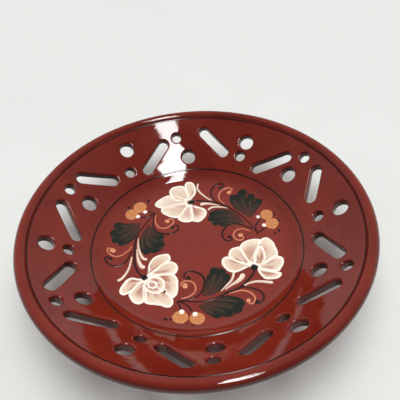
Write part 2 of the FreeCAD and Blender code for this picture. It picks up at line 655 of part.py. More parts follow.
def united(faces, filled=False):
    """Overlapping faces joined into islands, one face for each island."""
    islands = []
    for face in faces:
        apart = []
        for island in islands:
            if island.common(face).Area < 0.001:
                apart.append(island)
                continue
            joined = island.fuse(face).removeSplitter().Faces
            if len(joined) != 1:
                raise RuntimeError("painted shapes did not join into one island")
            face = upward_face(joined[0].OuterWire) if filled else joined[0]
        islands = apart + [face]
    return Part.makeCompound(islands)


def spray_layers(spray):
    """Flat outlines of one spray, from the layer painted last to the first."""
    dark = [blob_face(*spray["heart"])]
    dark.append(stroke_face(spray["stem"], 1.4, 2.0, 0.8))
    dark += [stroke_face(twig, 0.8, 1.2, 1.3) for twig in spray["twigs"]]
    dark.append(stroke_face(spray["black_up"], 1.3, 1.5, 1.2))
    dark.append(blob_face(*spray["black_up_blob"]))
    dark.append(stroke_face(spray["black_low"], 0.9, 1.6, 1.2))
    dark.append(blob_face(*spray["black_low_blob"]))
    orange = [
        stroke_face(spray["orange_up"], 0.9, 1.3, 1.1),
        blob_face(*spray["orange_up_blob"]),
        stroke_face(spray["orange_low"], 0.8, 1.2, 1.1),
        blob_face(*spray["orange_low_blob"]),
    ]
    cream = [stroke_face(*stroke) for stroke in spray["cream"]]
    heart_x, heart_y, heart_radius = spray["heart"]
    petals = [blob_face(heart_x - heart_radius, heart_y, 1.8 * heart_radius)]
    petals += [leaf_face(petal) for petal in spray["petals"]]
    return {
        "berry_highlights": united([blob_face(*spot) for spot in spray["highlights"]]),
        "black_dots": united([blob_face(*spot) for spot in spray["dots"]]),
        "stem_and_scrolls": united(dark),
        "cream_strokes": united(cream),
        "orange_scrolls": united(orange),
        "berries": united([blob_face(*berry) for berry in spray["berries"]]),
        "petals": united(petals, filled=True),
        "outer_leaf": leaf_face(spray["outer_leaf"]),
        "inner_leaf": leaf_face(spray["inner_leaf"]),
    }


def skin_section():
    """Section of the thin film of slip that follows the well and the rim's foot."""
    angle = math.radians(dim("rim_angle"))
    radius = dim("well_fillet")
    floor = dim("floor_height")
    thick = dim("paint_thickness")
    start = dim("well_radius") - radius * math.tan(angle / 2)
    centre = V3(start, floor + radius, 0)
    reach = dim("paint_reach")
    normal = V3(-math.sin(angle), math.cos(angle), 0)
    joint = centre - normal * radius
    tip = V3(reach, rim_height(reach), 0)

    sketch = doc.addObject("Sketcher::SketchObject", "slip_film_section")
    low_floor = sketch.addGeometry(Part.LineSegment(V3(0, floor, 0), V3(start, floor, 0)))
    low_circle = Part.Circle(centre, V3(0, 0, 1), radius)
    low_arc = sketch.addGeometry(Part.ArcOfCircle(low_circle, -math.pi / 2, -math.pi / 2 + angle))
    low_rim = sketch.addGeometry(Part.LineSegment(joint, tip))
    end = sketch.addGeometry(Part.LineSegment(tip, tip + normal * thick))
    high_rim = sketch.addGeometry(Part.LineSegment(tip + normal * thick, joint + normal * thick))
    high_circle = Part.Circle(centre, V3(0, 0, 1), radius - thick)
    high_arc = sketch.addGeometry(Part.ArcOfCircle(high_circle, -math.pi / 2, -math.pi / 2 + angle))
    high_floor = sketch.addGeometry(
        Part.LineSegment(V3(start, floor + thick, 0), V3(0, floor + thick, 0))
    )
    axis_line = sketch.addGeometry(Part.LineSegment(V3(0, floor + thick, 0), V3(0, floor, 0)))
    sketch.addConstraint(Sketcher.Constraint("Tangent", low_floor, 2, low_arc, 1))
    sketch.addConstraint(Sketcher.Constraint("Tangent", low_arc, 2, low_rim, 1))
    coincide(sketch, low_rim, 2, end, 1)
    coincide(sketch, end, 2, high_rim, 1)
    sketch.addConstraint(Sketcher.Constraint("Tangent", high_rim, 2, high_arc, 2))
    sketch.addConstraint(Sketcher.Constraint("Tangent", high_arc, 1, high_floor, 1))
    coincide(sketch, high_floor, 2, axis_line, 1)
    coincide(sketch, axis_line, 2, low_floor, 1)
    sketch.addConstraint(Sketcher.Constraint("Coincident", low_arc, 3, high_arc, 3))
    sketch.addConstraint(Sketcher.Constraint("Perpendicular", low_rim, end))
    sketch.addConstraint(Sketcher.Constraint("Horizontal", low_floor))
    sketch.addConstraint(Sketcher.Constraint("PointOnObject", low_floor, 1, -2))
    sketch.addConstraint(Sketcher.Constraint("PointOnObject", high_floor, 2, -2))
    pin_point(sketch, low_floor, 1, None, "Dimensions.floor_height", "film_floor")
    measure(
        sketch,
        Sketcher.Constraint("Radius", low_arc, radius),
        "film_round",
        "Dimensions.well_fillet",
    )
    measure(sketch, Sketcher.Constraint("Angle", low_rim, angle), "film_slope", "Dimensions.rim_angle")
    pin_point(sketch, low_rim, 2, "Dimensions.paint_reach", None, "film_reach")
    sketch.addConstraint(
        Sketcher.Constraint("DistanceX", -1, 1, low_floor, 2, start)
    )
    measure(
        sketch,
        Sketcher.Constraint("Distance", end, thick),
        "film_thickness",
        "Dimensions.paint_thickness",
    )
    sketch.Placement = FreeCAD.Placement(V3(0, 0, 0), FreeCAD.Rotation(V3(1, 0, 0), 90))
    return sketch


def slip_film():
    film = doc.addObject("Part::Revolution", "slip_film")
    film.Source = skin_section()
    film.Axis = V3(0, 0, 1)
    film.Base = V3(0, 0, 0)
    film.Angle = 360.0
    film.Solid = True
    doc.recompute()
    return film


def painted_node(name, outline, film):
    """A flat outline raised to a prism and kept only where it meets the film."""
    drawn = doc.addObject("Part::Feature", name + "_outline")
    drawn.Shape = outline
    prism = doc.addObject("Part::Extrusion", name + "_prism")
    prism.Base = drawn
    prism.DirMode = "Custom"
    prism.Dir = V3(0, 0, 1)
    prism.setExpression("LengthFwd", "Dimensions.cutter_height")
    prism.Solid = True
    layer = doc.addObject("Part::Common", name)
    layer.Base = prism
    layer.Tool = film
    doc.recompute()
    return layer


def boxes_meet(first, second):
    return first.BoundBox.intersect(second.BoundBox)


def painted_nodes(film):
    """All painted layers; a layer gives way to every layer painted over it."""
    sprays = []
    for number, spray in enumerate(SPRAYS):
        layers = spray_layers(spray)
        for face in layers.values():
            face.rotate(V3(0, 0, 0), V3(0, 0, 1), -120.0 * number)
        sprays.append(layers)
    nodes = []
    over = []
    for layer in sprays[0]:
        fresh = []
        for number, layers in enumerate(sprays):
            outline = layers[layer]
            above = [face for face in over + fresh if boxes_meet(face, outline)]
            if above:
                outline = outline.cut(above)
            fresh.append(outline)
            nodes.append(painted_node(f"{layer}_{number + 1}", outline, film))
        over += fresh
    return nodes


def check_and_export(nodes):
    doc.recompute()
    for item in doc.Objects:
        if "Invalid" in item.State or "Error" in item.State:
            raise RuntimeError(item.Name + " did not compute")
    for node in nodes:
        shape = node.Shape
        if shape.isNull() or not shape.isValid() or not shape.Solids:
            raise RuntimeError(node.Label + " has no valid solid")
        loose = Part.makeCompound(shape.Solids) if len(shape.Solids) > 1 else shape.Solids[0]
        print(node.Label, len(shape.Solids), "solids", round(loose.Volume, 2))
        loose.exportStep("parts/" + node.Label + ".step")


def main():
    body = pierced_body(dish_blank())
    bands = [outer_band(), inner_band()]
    layers = painted_nodes(slip_film())
    check_and_export([body] + bands + layers)


main()
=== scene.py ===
"""Looks of a hand painted pierced ceramic plate: glaze, brushwork, light and camera.

The body and the two band lines keep their CAD meshes and get new materials here.  The 27 painted
layers of the well are painted again, stroke by stroke, and each replaces its CAD node.
"""

import math

import bpy
import numpy as np
from mathutils import Matrix, Vector


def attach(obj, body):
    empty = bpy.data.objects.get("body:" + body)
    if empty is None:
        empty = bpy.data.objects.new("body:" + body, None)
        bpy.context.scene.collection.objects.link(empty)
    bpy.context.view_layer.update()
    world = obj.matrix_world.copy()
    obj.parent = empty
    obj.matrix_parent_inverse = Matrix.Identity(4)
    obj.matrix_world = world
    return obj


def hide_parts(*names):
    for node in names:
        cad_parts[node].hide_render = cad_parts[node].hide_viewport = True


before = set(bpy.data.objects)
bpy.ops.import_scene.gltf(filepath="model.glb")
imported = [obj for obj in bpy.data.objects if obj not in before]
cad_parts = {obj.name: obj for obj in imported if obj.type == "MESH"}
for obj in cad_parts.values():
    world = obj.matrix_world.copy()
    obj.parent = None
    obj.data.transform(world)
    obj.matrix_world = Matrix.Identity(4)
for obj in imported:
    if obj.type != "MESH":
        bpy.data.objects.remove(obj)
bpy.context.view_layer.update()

MM = 0.001

# ------------------------------------------------------------------ dish form
# The dish's upper surface in millimetres, the same numbers as the solid.
FLOOR = 10.0
WELL_RADIUS = 68.7
WELL_FILLET = 32.0
RIM_ANGLE = math.radians(37.0)
FILLET_START = WELL_RADIUS - WELL_FILLET * math.tan(RIM_ANGLE / 2)
FILLET_END = FILLET_START + WELL_FILLET * math.sin(RIM_ANGLE)


def surface(x, y, lift):
    """Points at a height `lift` above the dish's upper surface, along its normal."""
    radius = np.hypot(x, y)
    in_fillet = (radius > FILLET_START) & (radius <= FILLET_END)
    share = np.clip((radius - FILLET_START) / WELL_FILLET, 0, math.sin(RIM_ANGLE))
    lean = np.where(in_fillet, np.arcsin(share), 0.0)
    lean = np.where(radius > FILLET_END, RIM_ANGLE, lean)
    height = np.where(in_fillet, FLOOR + WELL_FILLET * (1 - np.cos(lean)), FLOOR)
    slope = FLOOR + (radius - WELL_RADIUS) * math.tan(RIM_ANGLE)
    height = np.where(radius > FILLET_END, slope, height)
    inward = np.sin(lean) * lift / np.maximum(radius, 1e-6)
    return np.stack([x * (1 - inward), y * (1 - inward), height + np.cos(lean) * lift], -1)


# -------------------------------------------------------------------- colours
def linear(red, green, blue):
    """Screen colour out of 255 to linear light."""
    values = np.array([red, green, blue], float) / 255
    return np.where(values <= 0.04045, values / 12.92, ((values + 0.055) / 1.055) ** 2.4)


# coloured slips
CREAM = linear(248, 231, 211)
CREAM_SHADE = linear(229, 210, 186)
CREAM_PINK = linear(200, 146, 124)
VEIL = linear(150, 78, 62)
BLACK = linear(20, 4, 4)
BROWN_BLACK = linear(66, 14, 10)
GREEN_BLACK = linear(16, 20, 10)
LEAF_BROWN = linear(76, 36, 24)
LEAF_GREY = linear(74, 58, 44)
LEAF_WASH = linear(84, 36, 24)
OCHRE = linear(204, 134, 78)
OCHRE_DEEP = linear(188, 112, 58)
ORANGE = linear(204, 116, 84)
ORANGE_PALE = linear(222, 152, 112)
WHITE = linear(255, 252, 242)
# band lines
BAND = linear(26, 6, 5)
BAND_THIN = linear(58, 14, 9)
BAND_GRAIN = linear(16, 4, 4)
SLIP_SHADE = (0.80, 0.74, 0.70)
# glazed body
GLAZE = linear(104, 27, 16)
GLAZE_WARM = linear(119, 37, 21)
GLAZE_RING = linear(128, 33, 20)
GLAZE_MOTTLE = linear(92, 18, 12)
GLAZE_SPECK = linear(70, 14, 10)
# painted reflection: a paler, pinker tone for the well, where the glaze mirrors the pale room
WELL_PAINTED_REFLECTION = linear(130, 46, 36)
# painted shade for the walls of the piercings
CUT_WALL_PAINTED_SHADE = linear(62, 12, 8)
# painted shade for the lip's outer, downward-facing side
LIP_OUTSIDE_PAINTED_SHADE = linear(62, 14, 10)
CHIP = linear(186, 98, 66)
BARE_PALE = linear(168, 92, 62)
BARE_DEEP = linear(146, 76, 52)
# table
TABLE_DEEP = linear(220, 221, 218)
TABLE_PALE = linear(223, 224, 221)


def mix(first, second, share):
    """Blend of two colours, or of a colour at each point with another one."""
    share = np.clip(np.asarray(share, float), 0, 1)[..., None]
    return first * (1 - share) + second * share


def smooth(value, start, stop):
    """0 at `start`, 1 at `stop`, with a soft change between."""
    share = np.clip((value - start) / (stop - start), 0, 1)
    return share * share * (3 - 2 * share)


# ---------------------------------------------------------------- brush tools
# Lengths in millimetres.
SPLINE_STEPS = 24     # straight pieces between two given points
COLUMN_GAP = 0.32     # between the lines that run along a stroke
LINE_WANDER = 0.12    # how far a stroke strays sideways
OUTLINE_WANDER = 0.2  # how far a patch's outline strays
EDGE_WIDTH = 0.55     # over which a patch rises from the clay
POOL_WIDTH = 1.3      # of the thicker slip along a patch's edge
TUCK = 0.03           # an edge dips this far into the clay, so that no gap shows


def streaks(across, along, seed, bands=9):
    """Smooth random streaks around 0.5: fine across a stroke, slow along it."""
    rng = np.random.default_rng(seed)
    total = np.zeros(np.broadcast(across, along).shape)
    weight = 0.0
    for octave, strength in ((1.0, 1.0), (2.1, 0.6), (4.3, 0.35)):
        phases = rng.random(6) * 6.283
        rates = bands * octave * (0.7 + 0.6 * rng.random(3))
        drift = 0.4 + 1.6 * rng.random(3)
        for i in range(3):
            sway = drift[i] * np.sin(2.2 * along + phases[i + 3])
            total = total + strength * np.sin(rates[i] * across + phases[i] + sway)
            weight += strength
    return 0.5 + 0.5 * total / (0.55 * weight)


def spline(points, steps, closed=False):
    """Evenly spaced points on a Catmull-Rom curve through the given ones, and its length."""
    pts = np.array(points, float)
    count = len(pts)
    spans = count if closed else count - 1
    pieces = []
    for i in range(spans):
        if closed:
            p0, p1, p2, p3 = (pts[(i + k - 1) % count] for k in range(4))
        else:
            p1, p2 = pts[i], pts[i + 1]
            p0 = pts[i - 1] if i > 0 else 2 * p1 - p2
            p3 = pts[i + 2] if i + 2 < count else 2 * p2 - p1
        t = np.linspace(0, 1, SPLINE_STEPS, endpoint=False)[:, None]
        pieces.append(
            0.5 * (2 * p1 + (p2 - p0) * t + (2 * p0 - 5 * p1 + 4 * p2 - p3) * t ** 2
                   + (3 * p1 - p0 - 3 * p2 + p3) * t ** 3)
        )
    pieces.append(pts[:1] if closed else pts[-1:])
    path = np.concatenate(pieces)
    length = np.concatenate([[0], np.cumsum(np.hypot(*np.diff(path, axis=0).T))])
    even = np.linspace(0, length[-1], steps)
    return np.stack([np.interp(even, length, path[:, k]) for k in (0, 1)], -1), length[-1]


def ellipse(x, y, radius, tall=1.0, tilt=0.0):
    """Outline of a round dab, `tall` times as high as it is wide, turned by `tilt`."""
    turn = np.linspace(0, 2 * math.pi, 14, endpoint=False)
    a, b = radius * np.cos(turn), radius * tall * np.sin(turn)
    cosine, sine = math.cos(tilt), math.sin(tilt)
    return np.stack([x + a * cosine - b * sine, y + a * sine + b * cosine], -1)


class Layer:
    """One painted layer of one spray: a mesh that grows stroke by stroke."""

    def __init__(self, turn):
        self.turn = math.radians(turn)
        self.points = []
        self.colours = []
        self.faces = []
        self.count = 0

    def grid(self, flat, lift, colour):
        """Adds a grid of points (rows, columns, 2) with a height and a colour at each."""
        rows, columns = flat.shape[:2]
        cosine, sine = math.cos(self.turn), math.sin(self.turn)
        x = cosine * flat[..., 0] - sine * flat[..., 1]
        y = sine * flat[..., 0] + cosine * flat[..., 1]
        self.points.append(surface(x, y, lift).reshape(-1, 3))
        self.colours.append(np.clip(colour, 0, 1).reshape(-1, 3))
        index = np.arange(rows * columns).reshape(rows, columns) + self.count
        a, b = index[:-1, :-1], index[:-1, 1:]
        c, d = index[1:, 1:], index[1:, :-1]
        self.faces.append(np.stack([a, b, c, d], -1).reshape(-1, 4))
        self.count += rows * columns

    def stroke(self, points, widths, paint, lift=0.0, relief=0.22, fine=0.45, seed=1):
        """One brush stroke.  `paint` gives colours from (along, across, streak)."""
        _, length = spline(points, 2)
        steps = max(12, int(length / fine))
        path, _ = spline(points, steps)
        tangent = np.gradient(path, axis=0)
        tangent /= np.hypot(tangent[:, 0], tangent[:, 1])[:, None]
        side = np.stack([-tangent[:, 1], tangent[:, 0]], -1)
        along = np.linspace(0, 1, steps)
        half = np.interp(along, np.linspace(0, 1, len(widths)), widths) / 2
        for reach, cap in ((along * length, half[0]), ((1 - along) * length, half[-1])):
            near = np.clip(1 - reach / max(cap, 0.05), 0, 1)
            half = half * np.sqrt(1 - near ** 2 * 0.995)
        columns = max(7, int(max(widths) / COLUMN_GAP) | 1)
        across = np.sin(np.linspace(-math.pi / 2, math.pi / 2, columns))
        wobble = streaks(along * 3.0, along, seed + 50, 4) - 0.5
        offset = half[:, None] * across[None, :] + LINE_WANDER * wobble[:, None]
        flat = path[:, None, :] + side[:, None, :] * offset[..., None]
        s, v = np.meshgrid(along, across, indexing="ij")
        streak = streaks(v * 1.3, s, seed)
        rise = np.sqrt(np.clip(1 - v ** 2, 0, 1)) ** 0.7
        pooled = 0.62 + 0.38 * v ** 2
        film = relief * rise * pooled * (0.8 + 0.3 * (streak - 0.5))
        self.grid(flat, lift * rise + film - TUCK * (1 - rise), paint(s, v, streak))

    def patch(self, outline, base, paint, lift=0.0, relief=0.2, rings=26, seed=1, spokes=110):
        """A petal, leaf or dab: rings from a base point out to a closed outline.

        `paint` gives colours from (share of the way out, angle, streak, distance to the edge).
        """
        edge, _ = spline(outline, spokes, closed=True)
        turn = np.linspace(0, 1, spokes)
        wobble = streaks(turn * 9, turn, seed + 90, 6) - 0.5
        wobble[0] = wobble[-1] = 0
        base = np.array(base, float)
        reach = edge - base
        outward = reach / np.maximum(np.hypot(*reach.T), 0.1)[:, None]
        edge = edge + outward * (OUTLINE_WANDER * wobble)[:, None]
        reach = edge - base
        share = 1 - (1 - np.linspace(0, 1, rings)) ** 1.5
        flat = base + share[:, None, None] * reach[None]
        close = spline(edge, 360, closed=True)[0]
        gap = flat.reshape(-1, 1, 2) - close[None]
        distance = np.sqrt((gap ** 2).sum(-1).min(-1)).reshape(rings, spokes)
        s = np.broadcast_to(share[:, None], distance.shape)
        angle = np.unwrap(np.arctan2(reach[:, 1], reach[:, 0]))
        t = np.broadcast_to(angle[None], distance.shape)
        streak = streaks(t * 0.55, s, seed)
        pooled = np.exp(-(distance / POOL_WIDTH) ** 2)
        rise = np.sqrt(np.clip(distance / EDGE_WIDTH, 0, 1))
        film = relief * rise * (0.35 + 0.55 * pooled + 0.22 * (streak - 0.5))
        self.grid(flat, lift * rise + film - TUCK * (1 - rise), paint(s, t, streak, distance))

    def dab(self, x, y, radius, paint, tall=1.0, tilt=0.0, **settings):
        """A round patch of paint."""
        self.patch(ellipse(x, y, radius, tall, tilt), (x, y), paint, **settings)

    def make(self, kind, number, material, node=None):
        """Turns the layer into a piece that replaces its CAD node, named like it by default."""
        mesh = bpy.data.meshes.new(f"{kind}_painted_{number}")
        points = np.concatenate(self.points) * MM
        faces = np.concatenate(self.faces)
        mesh.from_pydata(points.tolist(), [], faces.tolist())
        colour = np.ones((len(points), 4), np.float32)
        colour[:, :3] = np.concatenate(self.colours)
        attribute = mesh.attributes.new("slip", "FLOAT_COLOR", "POINT")
        attribute.data.foreach_set("color", colour.ravel())
        mesh.polygons.foreach_set("use_smooth", [True] * len(mesh.polygons))
        mesh.materials.append(material)
        mesh.update()
        piece = bpy.data.objects.new(mesh.name, mesh)
        bpy.context.scene.collection.objects.link(piece)
        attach(piece, "root")
        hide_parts(f"{node or kind}_{number}")


# ---------------------------------------------------------------- brush paint
# s runs from 0 at the start of a stroke or the base of a patch to 1, v from -1 to 1 across.
def petal_paint(veil):
    """Cream slip: a thick pale edge round a thin window where the clay shows pink."""
    def paint(s, t, streak, distance):
        inside = smooth(distance, 1.0, 2.6)
        colour = mix(CREAM, CREAM_SHADE, 0.9 * inside * smooth(streak, 0.8, 0.2))
        window = inside * smooth(s, 0.04, 0.16) * smooth(s, 0.92, 0.5)
        thin = window * np.clip(veil + 0.12, 0, 1) * (0.45 + 1.1 * smooth(streak, 0.25, 0.6))
        colour = mix(colour, CREAM_PINK, thin)
        bare = veil * window * smooth(streak, 0.3, 0.65) * smooth(s, 0.8, 0.35)
        colour = mix(colour, VEIL, bare)
        colour = mix(colour, VEIL, 0.55 * smooth(s, 0.22, 0.03))
        rim = np.exp(-((distance - 0.6) / 0.75) ** 2)
        return mix(colour, WHITE, 0.9 * rim * smooth(s, 0.03, 0.2))
    return paint


def line_paint(main, thin, thin_share):
    """A drawn line: full colour, a little thinner where the brush lifts."""
    def paint(s, v, streak):
        lifted = thin_share * np.clip(1.3 * (1 - streak) * (0.4 + 0.8 * np.abs(v)), 0, 1)
        return mix(main, thin, lifted)
    return paint


def cream_line(s, v, streak):
    """A cream line that turns pinker towards its tail, brightest along one side."""
    colour = mix(CREAM, CREAM_PINK, 0.25 + 0.45 * s + 0.25 * (0.5 - streak))
    return mix(colour, WHITE, 0.5 * np.exp(-((v + 0.35) / 0.4) ** 2) * (1 - 0.6 * s))


def leaf_paint(s, v, streak):
    """A comma stroke: black-green at the loaded head, brown and thin at the tail."""
    bristle = smooth(streak, 0.3, 0.7)
    thin = np.clip(1.5 * (s - 0.25), 0, 1) * (0.3 + 0.7 * bristle)
    colour = mix(GREEN_BLACK, LEAF_BROWN, thin)
    pale = np.exp(-((v - 0.1) / 0.42) ** 2) * smooth(s, 0.14, 0.36) * smooth(s, 0.95, 0.6)
    colour = mix(colour, LEAF_GREY, (0.1 + 0.9 * bristle) * pale)
    colour = mix(colour, GREEN_BLACK, 0.8 * smooth(np.abs(v), 0.62, 0.95) * smooth(s, 0.95, 0.5))
    return mix(colour, LEAF_BROWN, 0.8 * smooth(s, 0.45, 0.95))


def wash_paint(s, t, streak, distance):
    """The thin brown wash below the leaf strokes, darkest towards its edge."""
    dark = 0.22 + 0.3 * np.exp(-(distance / 1.6) ** 2) + 0.3 * (streak - 0.5)
    return mix(LEAF_WASH, GREEN_BLACK, dark)


def flat_paint(main, second, share=0.5):
    """A dab of one colour with a little of a second in its streaks."""
    def paint(s, t, streak, distance):
        return mix(main, second, share * np.clip(1.4 * streak - 0.2, 0, 1))
    return paint


def berry_paint(s, t, streak, distance):
    """Ochre with deeper streaks in the middle and a deeper line at the edge."""
    colour = mix(OCHRE, OCHRE_DEEP, 0.7 * smooth(streak, 0.3, 0.75) * smooth(s, 0.95, 0.5))
    pale = 0.4 * smooth(streak, 0.5, 0.2) * smooth(distance, 0.2, 1.2)
    return mix(mix(colour, ORANGE_PALE, pale), OCHRE_DEEP, 0.6 * smooth(distance, 0.6, 0.05))


